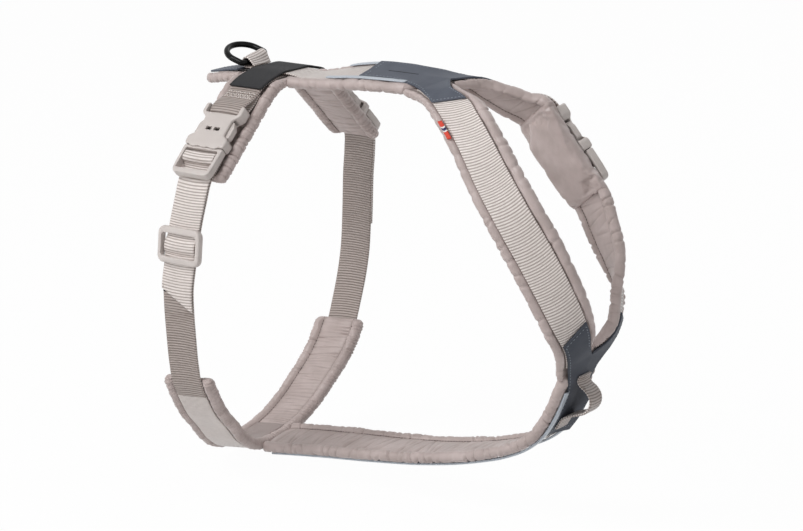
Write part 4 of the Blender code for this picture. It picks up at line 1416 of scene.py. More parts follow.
@dataclass
class SideReleaseBuckle:
    """A side release buckle: a socket, a plug and the plug's two spring prongs."""

    name: str
    frame: Matrix
    socket_levels: tuple[float, float] = (-4.1, 4.5)
    socket_outline: tuple = (
        (-28.5, 16.5),
        (-20.5, 16.5),
        (-17.0, 11.7),
        (-4.0, 11.7),
        (-0.5, 16.9),
        (6.0, 16.4),
    )
    socket_bar: tuple[float, float] = (-28.5, -24.6)
    socket_bar_levels: tuple[float, float] = (-2.8, 0.6)
    socket_slot_end: float = -20.8
    hollow: tuple[float, float] = (-18.2, 8.0)
    hollow_half: float = 15.4
    hollow_levels: tuple[float, float] = (-2.6, 2.8)
    slot_half: float = 13.6
    peep_hole: tuple[float, float] = (-9.4, -6.6)
    peep_sides: tuple[float, float] = (1.0, 5.8)
    lip_levels: tuple[float, float] = (3.6, 4.45)
    lip_outline: tuple = (
        (3.0, 12.6),
        (6.1, 12.6),
        (7.5, 10.8),
        (7.7, 7.0),
        (6.9, 5.2),
        (6.9, 2.6),
        (7.5, 1.4),
    )
    plug_outline: tuple = ((6.4, 16.3), (20.0, 16.2), (26.0, 15.6), (28.3, 14.2), (29.0, 12.0))
    plug_levels: tuple[float, float] = (-2.5, 3.3)
    plug_slots: tuple = ((8.6, 12.0), (15.6, 25.2))
    plug_bar_levels: tuple[float, float] = (-2.0, 1.5)
    tongue: tuple[float, float] = (-10.0, 7.4)
    tongue_half: float = 4.5
    prong_levels: tuple[float, float] = (-2.2, 2.4)
    prong_outline: tuple = (
        (5.8, 9.4),
        (5.8, 12.6),
        (-2.0, 13.0),
        (-4.0, 15.0),
        (-12.0, 15.0),
        (-16.5, 12.6),
        (-16.5, 10.8),
        (-6.0, 10.4),
    )

    def socket(self) -> Mesh:
        """Model the female half: webbing bar, waist, hollow body, peep holes and a wavy lip at its mouth.

        Returns:
            A mesh in the buckle's own frame.
        """
        deep = (-9.0, 9.0)
        low, high = self.socket_bar_levels
        bar = (-32.0, self.socket_bar[1] + 1.0)
        outline = Mould.both_sides(self.socket_outline)
        body = Mould.plate("socket_body", outline, self.socket_levels, 1.7, 1.2)
        lip = Mould.plate("socket_lip", Mould.both_sides(self.lip_outline), self.lip_levels, 0.5)
        slot = (self.socket_bar[1], self.socket_slot_end)
        steps = [
            ("UNION", lip),
            ("DIFFERENCE", Mould.block("hollow", self.hollow, self.hollow_half, self.hollow_levels, 0.8)),
            ("DIFFERENCE", Mould.block("slot", slot, self.slot_half, deep, 1.2)),
            ("DIFFERENCE", Mould.block("bar_top", bar, self.slot_half, (high, 9.0))),
            ("DIFFERENCE", Mould.block("bar_foot", bar, self.slot_half, (-9.0, low))),
        ]
        for side in Side:
            near, far = sorted(side.value * place for place in self.peep_sides)
            start, end = self.peep_hole
            hole = [(start, near), (end, near), (end, far), (start, far)]
            steps.append(("DIFFERENCE", Mould.plate("peep", hole, (0.5, 9.0), 0.5)))
        return Mould.carve("socket", body, steps)

    def plug(self) -> Mesh:
        """Model the male half without its prongs: a tongue, and a frame with two webbing slots.

        Returns:
            A mesh in the buckle's own frame.
        """
        deep = (-9.0, 9.0)
        low, high = self.plug_bar_levels
        bar = (self.plug_slots[0][0] + 1.0, self.plug_slots[1][1] - 1.0)
        body = Mould.plate("plug_body", Mould.both_sides(self.plug_outline), self.plug_levels, 0.9, 1.1)
        steps = []
        for slot in self.plug_slots:
            steps.append(("DIFFERENCE", Mould.block("slot", slot, self.slot_half, deep, 1.0)))
        steps.append(("DIFFERENCE", Mould.block("bar_top", bar, self.slot_half, (high, 9.0))))
        steps.append(("DIFFERENCE", Mould.block("bar_foot", bar, self.slot_half, (-9.0, low))))
        tongue = Mould.block("tongue", self.tongue, self.tongue_half, self.prong_levels, 1.5, 0.8)
        steps.append(("UNION", tongue))
        steps.append(("DIFFERENCE", Mould.block("tongue_step", (-12.0, -4.5), 9.0, (-0.8, 9.0))))
        return Mould.carve("plug", body, steps)

    def prong(self, side: int) -> Mesh:
        """Model one spring prong.

        Args:
            side: 1 or -1, across the buckle.

        Returns:
            A mesh in the buckle's own frame.
        """
        outline = [(s, side * w) for s, w in self.prong_outline]
        body = Mould.plate("prong", outline, self.prong_levels, 0.8, 0.5)
        return Mould.carve("prong", body, [], 0.15)

    def dress(self) -> None:
        """Put the buckle's four parts on their bodies."""
        parts = [(f"{self.name}_socket", self.socket(), "harness")]
        parts.append((f"{self.name}_plug", self.plug(), f"{self.name}_plug"))
        for side in (1, -1):
            end = "front" if side * self.frame.col[1].x > 0.0 else "rear"
            parts.append((f"{self.name}_prong_{end}", self.prong(side), f"{self.name}_prong_{end}"))
        for node, mesh, body in parts:
            mesh.transform(self.frame)
            settle(f"{node}_moulding", mesh, PLASTIC, (node,), body)


@dataclass
class StrapSlider:
    """A flat frame whose middle bar sits behind its window."""

    frame: Matrix
    half_length: float = 12.5
    half_width: float = 18.0
    corner: float = 5.0
    levels: tuple[float, float] = (1.05, 6.0)
    window: float = 8.2
    clear: float = 15.0
    tunnel: float = 2.85
    bar_half: float = 2.0
    bar_high: float = 2.95

    def dress(self) -> None:
        """Mould the slider and put it on its body."""
        deep = (-9.0, 19.0)
        through = (-2.0 * self.half_length, 2.0 * self.half_length)
        bar_levels = (self.levels[0] + 0.1, self.bar_high)
        length = (-self.half_length, self.half_length)
        body = Mould.block("slider_body", length, self.half_width, self.levels, self.corner, 1.5)
        steps = [
            ("DIFFERENCE", Mould.block("window", (-self.window, self.window), self.clear, deep, 2.4)),
            ("DIFFERENCE", Mould.block("tunnel", through, self.clear, (-9.0, self.tunnel))),
            ("UNION", Mould.block("bar", (-self.bar_half, self.bar_half), self.clear + 1.0, bar_levels)),
        ]
        mesh = Mould.carve("slider", body, steps, 0.4)
        mesh.transform(self.frame)
        settle("strap_slider_moulding", mesh, PLASTIC, ("strap_slider",), "strap_slider")


@dataclass
class BuckleCushion:
    """The cushion behind the neck buckle, blown up by a cloth simulation."""

    lines: HarnessLines
    voxel: float = 1.9
    pressure: float = 4.0
    cap: float = 1.8
    frames: int = 20
    inset: float = 0.7

    def core(self) -> Mesh:
        """Sweep the cushion's section, a little smaller than it ends up.

        Returns:
            A closed mesh.
        """
        lane = self.lines.neck_left
        top, foot = self.lines.buckle_top, self.lines.buckle_foot
        along = np.linspace(top + 0.4, foot - 0.4, 60)
        rings = []
        for place in along:
            share = (place - top) / (foot - top)
            swell = max(0.0, sin(pi * share)) ** 0.5
            depth = 4.3 + 2.7 * swell - self.inset
            pinch = 0.6 * (1.0 - swell)
            half = [(-14.0, 1.4), (-15.2, 3.2), (-18.0, 3.8), (-20.9, 1.9)]
            half += [(-21.7 + pinch, -2.3), (-19.0, 0.8 - depth), (-9.0, -depth)]
            ring = [*half, *[(-w, n) for w, n in reversed(half)]]
            outline = smooth_run([*ring, ring[0]], 5)[:-1]
            rings.append(lane.points(np.full(len(outline), place), outline[:, 0], outline[:, 1]))
        spots = np.array(rings)
        marks = np.zeros((spots.shape[0], spots.shape[1] + 1, 2))
        return wrapped_skin("neck_cushion", spots, marks)

    def sewn(self, points: Array) -> Array:
        """Find the points, given in metres, that the webbing or the end seams hold."""
        lane = self.lines.neck_left
        places = points / MM
        nearest = np.argmin(np.linalg.norm(places[:, None, :] - lane.centres[None, :, :], axis=2), axis=1)
        away = places - lane.centres[nearest]
        across, out = (np.einsum("ij,ij->i", away, table[nearest]) for table in (lane.across, lane.out))
        place = lane.run[nearest]
        ends = (place < self.lines.buckle_top + 2.5) | (place > self.lines.buckle_foot - 2.5)
        return np.flatnonzero(ends | (np.abs(across) < 14.5) & (out > 0.6))

    def mesh(self) -> Mesh:
        """Blow the cushion up, except where the webbing lies on it.

        Returns:
            A closed mesh.
        """
        carrier = carried("neck_cushion", self.core())
        skin = carrier.modifiers.new("skin", "REMESH")
        skin.mode = "VOXEL"
        skin.voxel_size = self.voxel * MM
        mesh = baked(carrier)
        mesh = self.blown(mesh)
        carrier = carried("neck_cushion", mesh)
        fine = carrier.modifiers.new("fine", "SUBSURF")
        fine.levels = 2
        fine.render_levels = 2
        mesh = baked(carrier)
        mesh.shade_smooth()
        return mesh

    def blown(self, mesh: Mesh) -> Mesh:
        """Run the cloth simulation and limit how far it moves each point.

        Args:
            mesh: The cushion's skin.

        Returns:
            The swollen skin.
        """
        before = np.empty(len(mesh.vertices) * 3)
        mesh.vertices.foreach_get("co", before)
        before = before.reshape(-1, 3)
        carrier = carried("neck_cushion", mesh)
        group = carrier.vertex_groups.new(name="sewn")
        group.add([int(i) for i in self.sewn(before)], 1.0, "REPLACE")
        cloth = carrier.modifiers.new("cloth", "CLOTH")
        cloth.settings.quality = 6
        cloth.settings.mass = 0.15
        cloth.settings.tension_stiffness = 8.0
        cloth.settings.compression_stiffness = 8.0
        cloth.settings.bending_stiffness = 0.12
        cloth.settings.shrink_min = -0.08
        cloth.settings.use_pressure = True
        cloth.settings.uniform_pressure_force = self.pressure
        cloth.settings.effector_weights.gravity = 0.0
        cloth.settings.vertex_group_mass = "sewn"
        cloth.point_cache.frame_start = 1
        cloth.point_cache.frame_end = self.frames
        scene = bpy.context.scene
        for number in range(1, self.frames + 1):
            scene.frame_set(number)
        swollen = baked(carrier)
        scene.frame_set(1)
        after = np.empty(len(swollen.vertices) * 3)
        swollen.vertices.foreach_get("co", after)
        move = after.reshape(-1, 3) - before
        reach = np.linalg.norm(move, axis=1)[:, None]
        move *= np.minimum(1.0, self.cap * MM / np.maximum(reach, 1e-9))
        swollen.vertices.foreach_set("co", (before + move).ravel())
        return swollen


@dataclass
class Padding:
    """Every padded strap and the cushion behind the neck buckle."""

    lines: HarnessLines

    def dress(self) -> None:
        """Make the straps and put them on the harness."""
        girth, back, sternum = self.lines.girth, self.lines.back, self.lines.sternum
        pressed = [(-PAD_END, GIRTH_HALF, GIRTH_ROLL), (-26.0, GIRTH_HALF, GIRTH_ROLL)]
        pressed.append((-22.0, GIRTH_HALF, PRESSED_ROLL))
        knots = pressed + [(-along, half, roll) for along, half, roll in pressed]
        self.add("girth_top_pad", girth, knots, Gather(4.2, 1.3, 11), ends=(5.0, 5.0))
        tip = girth.where(2, BELLY_TIP_Z)
        knots = [(tip, GIRTH_HALF, GIRTH_ROLL), (girth.length - tip, GIRTH_HALF, GIRTH_ROLL)]
        self.add("belly_pad", girth, knots, Gather(2.7, 1.0, 21), ends=(5.0, 5.0))
        start = back.where(0, GIRTH_X + GIRTH_HALF + GAP)
        knots = [(start, SLIM_HALF, SLIM_ROLL), (back.where(0, 125.0), SLIM_HALF, SLIM_ROLL)]
        knots += [(back.where(0, 138.5), 10.0, CHANNEL), (back.where(0, 149.0), 2.0, CHANNEL)]
        self.add("back_pad", back, knots, Gather(8.0, 1.0, 31))
        flap = (
            (-14.3, 19.5),
            (-25.0, 19.5),
            (-36.0, 18.0),
            (-43.0, 15.5),
            (-48.0, 12.0),
            (-51.0, 8.5),
            (-52.4, 5.5),
        )
        knots = [(back.where(0, x), half, FLAP_ROLL) for x, half in flap]
        self.add("rear_flap_pad", back, knots, Gather(5.0, 0.9, 41), ends=(7.0, 0.0))
        knots = [(0.0, SLIM_HALF, SLIM_ROLL), (sternum.where(2, -42.0), SLIM_HALF, SLIM_ROLL)]
        knots += [(sternum.where(2, -34.0), 10.0, CHANNEL), (sternum.where(2, -27.5), 2.0, CHANNEL)]
        self.add("sternum_pad", sternum, knots, Gather(6.5, 1.3, 51))
        right, left = self.lines.neck_right, self.lines.neck_left
        self.add_neck("neck_pad_right", right, 0.0, right.length, Gather(8.5, 1.0, 61))
        self.add_neck("neck_pad_left_upper", left, 0.0, self.lines.buckle_top + 1.0, Gather(7.0, 0.9, 71))
        foot = self.lines.buckle_foot - 1.0
        self.add_neck("neck_pad_left_lower", left, foot, left.length, Gather(6.5, 1.2, 81))
        mesh = BuckleCushion(self.lines).mesh()
        settle("neck_buckle_cushion", mesh, PADDING, ("neck_buckle_pad",))

    @staticmethod
    def add(
        name: str,
        lane: Lane,
        knots: list,
        gather: Gather,
        ends: tuple[float, float] = (0.0, 0.0),
    ) -> None:
        """Make one padded strap.

        Args:
            name: The solid that it replaces.
            lane: Its line.
            knots: Distance along, half width and roll radius.
            gather: Its folds.
            ends: Lengths over which its ends are rounded.
        """
        mesh = PaddedStrap(name, lane, knots, gather, ends=ends).mesh()
        settle(f"{name}_cover", mesh, PADDING, (name,))
        lines = []
        for side in Side:
            line = []
            for along, half, roll in sorted(knots):
                if half > SEAM_MIN_HALF:
                    line.append((along, side.value * (half - SEAM_ROLLS * roll)))
            lines.append(lane.seam(line, -CHANNEL - SEAM_SINK))
        row = StitchRow(name, lines, pitch=2.3, length=2.1, width=0.6)
        settle(f"{name}_seam", row.mesh(), SEAM_THREAD)

    def add_neck(self, name: str, lane: Lane, start: float, end: float, gather: Gather) -> None:
        """Make one neck strap, whose rolled edges are thin at the forks.

        Args:
            name: The solid that it replaces.
            lane: Its line.
            start: Distance along where it starts.
            end: Distance along where it ends.
            gather: Its folds.
        """
        knots = []
        for along in np.linspace(start, end, 40):
            from_fork = min(along, lane.length - along)
            roll = SLIM_ROLL if from_fork > 20.0 else 2.4 + (SLIM_ROLL - 2.4) * from_fork / 20.0
            knots.append((float(along), SLIM_HALF, roll))
        self.add(name, lane, knots, gather)


@dataclass
class LoadWebbing:
    """Every strip of webbing that carries load."""

    lines: HarnessLines
    socket_steps: tuple = (
        (-60.0, WEB_LEVEL),
        (-53.0, 3.9),
        (-46.0, 4.7),
        (-38.0, 6.9),
        (-30.5, 10.2),
        (-26.3, 10.9),
        (-23.2, 10.0),
        (-22.6, 8.2),
        (-22.8, 6.2),
        (-24.0, 4.9),
        (-28.0, 4.6),
        (-33.0, 3.4),
        (-38.0, WEB_LEVEL),
        (-46.5, WEB_LEVEL),
    )
    plug_steps: tuple = (
        (13.5, WEB_LEVEL),
        (11.0, 3.6),
        (10.3, 6.4),
        (10.3, 9.6),
        (11.5, 11.3),
        (13.6, 11.6),
        (15.9, 11.4),
        (17.2, 10.0),
        (17.4, 8.0),
        (18.8, 5.9),
        (22.5, 4.6),
        (26.0, 4.5),
    )
    hump_steps: tuple = (
        (-8.6, SECOND_LEVEL + 0.12),
        (-6.2, 4.6),
        (-2.9, 6.4),
        (0.0, 6.75),
        (2.9, 6.4),
        (6.2, 4.6),
        (8.6, SECOND_LEVEL + 0.12),
    )

    @staticmethod
    def moved(steps: Sequence, middle: float) -> Path:
        """Steps about a middle as a path along the lane."""
        return [(middle + along, level) for along, level in steps]

    def strip(self, name: str, lane: Lane, path: Path, **sizes: object) -> None:
        """Make one strip that stays with the harness."""
        settle(f"{name}_weave", WebStrip(name, lane, path, **sizes).mesh(), WEBBING, (name,))

    def dress(self) -> None:
        """Make every strip and put it on its body."""
        girth, back, sternum = self.lines.girth, self.lines.back, self.lines.sternum
        right = self.moved(self.socket_steps, GIRTH_BUCKLE)[::-1]
        left = [(-along, level) for along, level in reversed(right)]
        over = girth.level(right[-1][0], left[0][0], WEB_LEVEL)
        self.strip("girth_top_webbing", girth, right + over[1:-1] + left)
        self.girth_straps()
        start = girth.where(2, STRAP_END_Z) + GAP
        path = girth.level(start, girth.length - start, WEB_LEVEL)
        self.strip("belly_webbing", girth, path, rib=0.1, bow=0.3, pitch=1.25)
        path = [(back.where(0, x), SECOND_LEVEL) for x in (-6.0, 10.0, 27.0)]
        path += back.level(back.where(0, 36.0), back.where(0, 125.0), WEB_LEVEL)
        path.append((back.where(0, 134.0), WEB_LEVEL))
        self.strip("back_webbing", back, path, half=[WEB_HALF] * (len(path) - 1) + [7.0])
        self.strip("sternum_webbing", sternum, sternum.level(0.5, sternum.where(2, -44.0), WEB_LEVEL))
        neck = self.lines.neck_right
        self.strip("neck_webbing_right", neck, neck.level(7.0, neck.length - 9.0, WEB_LEVEL), bow=1.6)
        self.left_neck()

    def girth_straps(self) -> None:
        """The adjustable strap on each side, which runs to its plug."""
        girth = self.lines.girth
        end = girth.where(2, STRAP_END_Z)
        slider = girth.where(2, SLIDER_Z)
        up = girth.level(end, GIRTH_BUCKLE + 20.0, WEB_LEVEL) + self.moved(self.plug_steps, GIRTH_BUCKLE)
        tail_end = girth.where(2, TAIL_END_Z) + TAIL_SLANT * WEB_HALF
        tail = girth.level(GIRTH_BUCKLE + 31.0, tail_end, SECOND_LEVEL)
        strip = WebStrip("girth_strap_right", girth, up + tail, slant=TAIL_SLANT)
        self.follow(strip, "girth_right_plug", girth.where(2, -70.0), girth.where(2, 6.0))
        tail = girth.level(GIRTH_BUCKLE + 31.0, girth.where(2, LEFT_TAIL_END_Z), SECOND_LEVEL)
        path = [(-along, level) for along, level in up + tail]
        strip = WebStrip("girth_strap_left", girth, path)
        self.follow(strip, "girth_left_plug", -girth.where(2, -70.0), -girth.where(2, 40.0))
        hump = WebStrip("slider_hump", girth, self.moved(self.hump_steps, slider))
        nodes = ("girth_strap_right",)
        settle("strap_slider_hump_weave", hump.mesh(), WEBBING, nodes, "strap_slider")

    def left_neck(self) -> None:
        """The left neck strap above and below its buckle."""
        neck, buckle = self.lines.neck_left, self.lines.neck_buckle
        loop = self.moved(self.socket_steps[:12], buckle)
        path = neck.level(7.0, loop[0][0], WEB_LEVEL)[:-1] + loop
        self.strip("neck_webbing_left_upper", neck, path)
        path = neck.level(neck.length - 9.0, buckle + 20.0, WEB_LEVEL) + self.moved(self.plug_steps, buckle)
        path += neck.level(buckle + 31.0, buckle + 46.0, SECOND_LEVEL)
        strip = WebStrip("neck_webbing_left_lower", neck, path)
        self.follow(strip, "neck_plug", buckle + 110.0, buckle + 48.0)

    @staticmethod
    def follow(strip: WebStrip, body: str, start: float, end: float) -> None:
        """Make a strip that runs to its plug, baked in place on no body.

        Args:
            strip: The strip.
            body: The plug's body.
            start: Distance along to where it leaves the harness.
            end: Distance along to where it has joined the plug.
        """
        span = [strip.lane.frames(np.array([along]))[0][0] * MM for along in (start, end)]
        settle(f"{strip.name}_weave", strip.mesh(), WEBBING, (strip.name,), body, span=span)


@dataclass
class Patches:
    """Patches, label, tag and reflective edging, with their stitching."""

    lines: HarnessLines
    seam: float = 1.9
    far_reach: float = 3.2
    far_lift: float = 0.8

    def plain(self, name: str, lane: Lane, path: Path, thick: float, **sizes: object) -> WebStrip:
        """A smooth strip of patch material."""
        return WebStrip(name, lane, path, thick=thick, rib=0.0, spacing=1.0, mark=0.0, **sizes)

    def dress(self) -> None:
        """Make every patch and put it on the harness."""
        self.withers()
        self.chest()
        self.rear()
        self.label()
        self.small_parts()

    def withers(self) -> None:
        """The forked patch over the withers, which reaches further over the left edge."""
        back, right = self.lines.back, self.lines.neck_right
        arm = HarnessLines.knot_along(right, NECK_RIGHT[PATCH_ARM_KNOT])
        halves = []
        for side, lane in ((Side.RIGHT, right), (Side.LEFT, self.lines.neck_left)):
            far = side is Side.LEFT
            edge = STEM_HALF + self.far_reach * far
            lift = PATCH_LEVEL + self.far_lift * far
            stem = []
            for middle, outer, reach in (
                (84.0, 84.0, edge),
                (93.0, 93.0, edge),
                (103.0, 102.0, edge),
                (113.0, 111.0, edge + 0.3),
                (123.0, 119.5, max(edge, 14.2)),
            ):
                rim = back.point(back.where(0, outer), side.value * reach, lift)
                stem.append((back.point(back.where(0, middle), 0.0, PATCH_LEVEL), rim))
            for middle, along in ((131.5, 0.5), (140.5, 6.0), (149.5, WITHERS_FORK)):
                rim = lane.point(along, -WEB_HALF, PATCH_LEVEL + 0.3)
                stem.append((back.point(back.where(0, middle), 0.0, PATCH_LEVEL), rim))
            rest = [(stem[-1][0], stem[-1][1])]
            for share in ARM_SHARES:
                along = WITHERS_FORK + (arm - WITHERS_FORK) * share
                inner = lane.point(along, WEB_HALF, PATCH_LEVEL)
                rest.append((inner, lane.point(along, -WEB_HALF, PATCH_LEVEL)))
            halves.append((stem, rest))
        patch = ForkPatch("withers_patch", halves, (0.0, 0.0, 1.0))
        settle("withers_patch_microfibre", patch.mesh(), PATCH, ("withers_patch",))
        self.stitches("withers_stitching", patch.seams(self.seam))
        # A thin dark strip in the label's colour lies along the patch's middle as painted shade in its slit.
        level = PATCH_LEVEL + PATCH_THICK / 2
        path = back.level(back.where(0, 100.0), back.where(0, 124.0), level + 0.02)
        slit = self.plain("withers_slit", back, path, 0.3, half=0.4, middle=0.5)
        settle("withers_slit_painted_shade", slit.mesh(), LABEL)

    def chest(self) -> None:
        """The forked patch on the chest."""
        sternum, right = self.lines.sternum, self.lines.neck_right
        arm = right.length - HarnessLines.knot_along(right, NECK_RIGHT[CHEST_ARM_KNOT])
        halves = []
        for side, lane in ((Side.RIGHT, right), (Side.LEFT, self.lines.neck_left)):
            stem = []
            far = side is Side.LEFT
            reach, lift = CHEST_FAR_EDGE if far else (STEM_HALF, PATCH_LEVEL)
            for height in (-83.0, -74.0, -65.0, -56.0):
                along = sternum.where(2, height)
                rim = sternum.point(along, side.value * reach, lift)
                stem.append((sternum.point(along, 0.0, PATCH_LEVEL), rim))
            rim = sternum.point(sternum.where(2, -48.5), side.value * 14.0, PATCH_LEVEL)
            stem.append((sternum.point(sternum.where(2, -47.0), 0.0, PATCH_LEVEL), rim))
            for height, before in ((-39.0, 0.5), (-31.5, 5.0), (-24.5, CHEST_FORK)):
                middle = sternum.point(sternum.where(2, height), 0.0, PATCH_LEVEL)
                stem.append((middle, lane.point(lane.length - before, -WEB_HALF, PATCH_LEVEL)))
            rest = [(stem[-1][0], stem[-1][1])]
            cuts = CHEST_FAR_CUT if far else CHEST_NEAR_CUT
            for share in ARM_SHARES:
                ends = [lane.length - CHEST_FORK - (arm - cut - CHEST_FORK) * share for cut in cuts]
                inner = lane.point(ends[0], WEB_HALF, PATCH_LEVEL)
                rest.append((inner, lane.point(ends[1], -WEB_HALF, PATCH_LEVEL)))
            halves.append((stem, rest))
        patch = ForkPatch("chest_patch", halves, (1.0, 0.0, 0.0))
        # The chest patch takes the darker copy of the microfibre, as painted shade.
        settle("chest_patch_microfibre", patch.mesh(), SHADED_CHEST_MICROFIBRE, ("chest_patch",))
        self.stitches("chest_stitching", patch.seams(self.seam))

    def rear(self) -> None:
        """The small patch on the rear flap."""
        back = self.lines.back
        level = FLAP_ROLL + GAP + PATCH_THICK / 2
        path = [(back.where(0, x), level) for x in (-18.0, -25.0, -36.0, -42.0, -46.5)]
        halves = [14.8, 14.8, 13.2, 11.0, 8.0]
        strip = self.plain("rear_patch", back, path, PATCH_THICK, half=halves)
        settle("rear_patch_microfibre", strip.mesh(), PATCH, ("rear_patch",))
        line = [(along, half - self.seam) for (along, _), half in zip(path, halves)]
        line[-1] = (line[-1][0] + 1.5, line[-1][1])
        line += [(along, -side) for along, side in reversed(line)]
        self.stitches("rear_patch_stitching", [back.seam(line, level + PATCH_THICK / 2)])

    def label(self) -> None:
        """The bare woven label over the back, and the stitches below it that close the socket's loop."""
        girth = self.lines.girth
        path = [(-30.0, 5.2), (-21.0, 4.9), (-14.5, 6.0), (0.0, 6.0), (14.5, 6.0), (21.0, 4.9), (30.0, 5.3)]
        strip = self.plain("label_patch", girth, [*path, (36.5, 6.4)], 1.2, half=14.0, middle=1.0)
        settle("label_patch_weave", strip.mesh(), LABEL, ("label_patch",))
        rise = np.array(LoadWebbing.socket_steps[:5])
        for side in Side:
            lines = []
            for row in (-44.6, -42.0, -39.4):
                level = float(np.interp(row, rise[:, 0], rise[:, 1])) + WEB_THICK / 2 + 0.15
                tacks = np.linspace(-11.5, 11.5, 13)
                for i, (near, far) in enumerate(zip(tacks, tacks[1:])):
                    lean = 0.8 if i % 2 else -0.8
                    middle = GIRTH_BUCKLE + row
                    ends = [(-side.value * (middle - lean), near), (-side.value * (middle + lean), far)]
                    lines.append(girth.seam(ends, level))
            name = f"socket_tack_{side.name.lower()}"
            settle(name, StitchRow(name, lines, length=2.6, width=0.9).mesh(), THREAD)

    def small_parts(self) -> None:
        """The inner belly panel, the side tag and the reflective edging."""
        girth, back, sternum = self.lines.girth, self.lines.back, self.lines.sternum
        neck = self.lines.neck_right
        middle = girth.length / 2
        path = girth.level(middle - 20.0, middle + 20.0, -CHANNEL - GAP - 0.5)
        strip = self.plain("belly_inner_patch", girth, path, 1.0, half=12.6)
        settle("belly_inner_panel", strip.mesh(), LINING, ("belly_inner_patch",))
        start = neck.where(2, 127.5) + 3.0
        path = neck.level(start, start + 14.0, 4.6, 3.5)
        strip = self.plain("side_tag", neck, path, 0.8, half=1.7, middle=-14.9)
        settle("side_tag_ribbon", strip.mesh(), TAG, ("side_tag",))
        for side in Side:
            label = side.name.lower()
            path = back.level(back.where(0, 60.0), back.where(0, 124.0), EDGING_LEVEL + BACK_EDGING_LIFT)
            middle = side.value * (EDGING_MIDDLE + BACK_EDGING_SHIFT)
            half = EDGING_HALF + BACK_EDGING_GROWTH
            strip = self.plain(f"back_edging_{label}", back, path, EDGING_THICK, half=half, middle=middle)
            settle(f"back_edging_{label}_tape", strip.mesh(), EDGING, (strip.name,))
            path = sternum.level(4.0, sternum.where(2, -49.0), BROAD_LEVEL)
            middle = side.value * BROAD_MIDDLE
            name = f"sternum_edging_{label}"
            strip = self.plain(name, sternum, path, BROAD_THICK, half=BROAD_HALF, middle=middle)
            settle(f"sternum_edging_{label}_tape", strip.mesh(), EDGING, (strip.name,))

    @staticmethod
    def stitches(name: str, lines: list[Line]) -> None:
        """Make rows of stitches on a patch."""
        settle(name, StitchRow(name, lines).mesh(), SLATE_THREAD)


@dataclass
class LeadPoints:
    """The lead ring with its loop, and the soft loop on the chest."""

    lines: HarnessLines
    bar: tuple[float, float, float] = (-14.5, 0.0, 140.0)
    wire: float = 2.1
    half: float = 12.8
    depth: float = 21.0
    corner: float = 2.5
    roll: float = radians(10.0)
    pitch: float = radians(18.0)
    loop_half: float = 9.4
    loop_path: tuple = (
        (-7.6, 134.4, 0.0),
        (-10.2, 134.9, 0.1),
        (-12.6, 136.0, 0.5),
        (-15.0, 136.7, 1.0),
        (-17.2, 138.2, 1.0),
        (-17.8, 140.3, 1.0),
        (-16.6, 142.5, 1.0),
        (-14.2, 143.3, 1.0),
        (-11.8, 142.1, 1.0),
        (-9.8, 139.4, 0.5),
        (-8.3, 137.3, 0.1),
        (-7.6, 136.4, 0.0),
    )
    chest_steps: tuple = (
        (5.0, 0.0),
        (1.0, 0.2),
        (-0.8, 2.65),
        (-2.0, 7.55),
        (-5.0, 12.05),
        (-10.0, 14.05),
        (-15.5, 12.55),
        (-20.0, 8.05),
        (-24.5, 3.05),
        (-28.4, 0.4),
        (-32.5, 0.0),
        (-37.0, 0.0),
    )

    def ring_line(self) -> Array:
        """The ring's middle line, a D with its bar on the Y axis.

        Returns:
            Points in the ring's own plane, the first given again at the end.
        """
        reach = self.depth - self.half
        line = [(0.0, y) for y in np.linspace(-10.3, 10.3, 12)]
        turns = np.linspace(0.0, pi / 2, 9)[1:]
        bend = []
        for turn in turns:
            bend.append((-self.corner * (1.0 - cos(turn)), self.half - self.corner * (1.0 - sin(turn))))
        line += bend
        for turn in np.linspace(0.0, pi, 49):
            line.append((-reach - self.half * sin(turn), self.half * cos(turn)))
        line += [(x, -y) for x, y in reversed(bend)]
        return np.array([*line, line[0]])

    def ring(self) -> Mesh:
        """Bend the wire and set it on its bar.

        Returns:
            A closed mesh.
        """
        line = self.ring_line()
        ahead = np.roll(line[:-1], -1, axis=0) - np.roll(line[:-1], 1, axis=0)
        ahead = np.concatenate((ahead, ahead[:1]))
        ahead = ahead / np.linalg.norm(ahead, axis=1)[:, None]
        turn = np.linspace(0.0, 2 * pi, 21)[None, :-1]
        x = line[:, :1] + self.wire * np.cos(turn) * ahead[:, 1:]
        y = line[:, 1:] - self.wire * np.cos(turn) * ahead[:, :1]
        z = np.broadcast_to(self.wire * np.sin(turn), x.shape)
        marks = np.zeros((x.shape[0], x.shape[1] + 1, 2))
        mesh = wrapped_skin("d_ring", np.stack((x, y, z), axis=-1), marks, looped=True)
        tilt = Matrix.Rotation(self.roll, 4, "X") @ Matrix.Rotation(self.pitch, 4, "Y")
        mesh.transform(Matrix.Translation(Vector(self.bar) * MM) @ tilt)
        return mesh

    def dress(self) -> None:
        """Make the ring and the two loops."""
        settle("d_ring_wire", self.ring(), RING, ("d_ring",), "d_ring")
        path = list(self.loop_path)
        loop = RingLoop("d_ring_loop", self.lines.back, path, half=self.loop_half, roll=self.roll)
        settle("d_ring_loop_weave", loop.mesh(), WEBBING, ("d_ring_loop",))
        sternum = self.lines.sternum
        top = sternum.where(2, -43.5)
        foot = PATCH_LEVEL + PATCH_THICK / 2 + GAP + WEB_THICK / 2
        path = [(top + along, foot + lift) for along, lift in self.chest_steps]
        loop = WebStrip("chest_loop", sternum, path, half=7.5)
        settle("chest_loop_weave", loop.mesh(), WEBBING, ("chest_loop",))


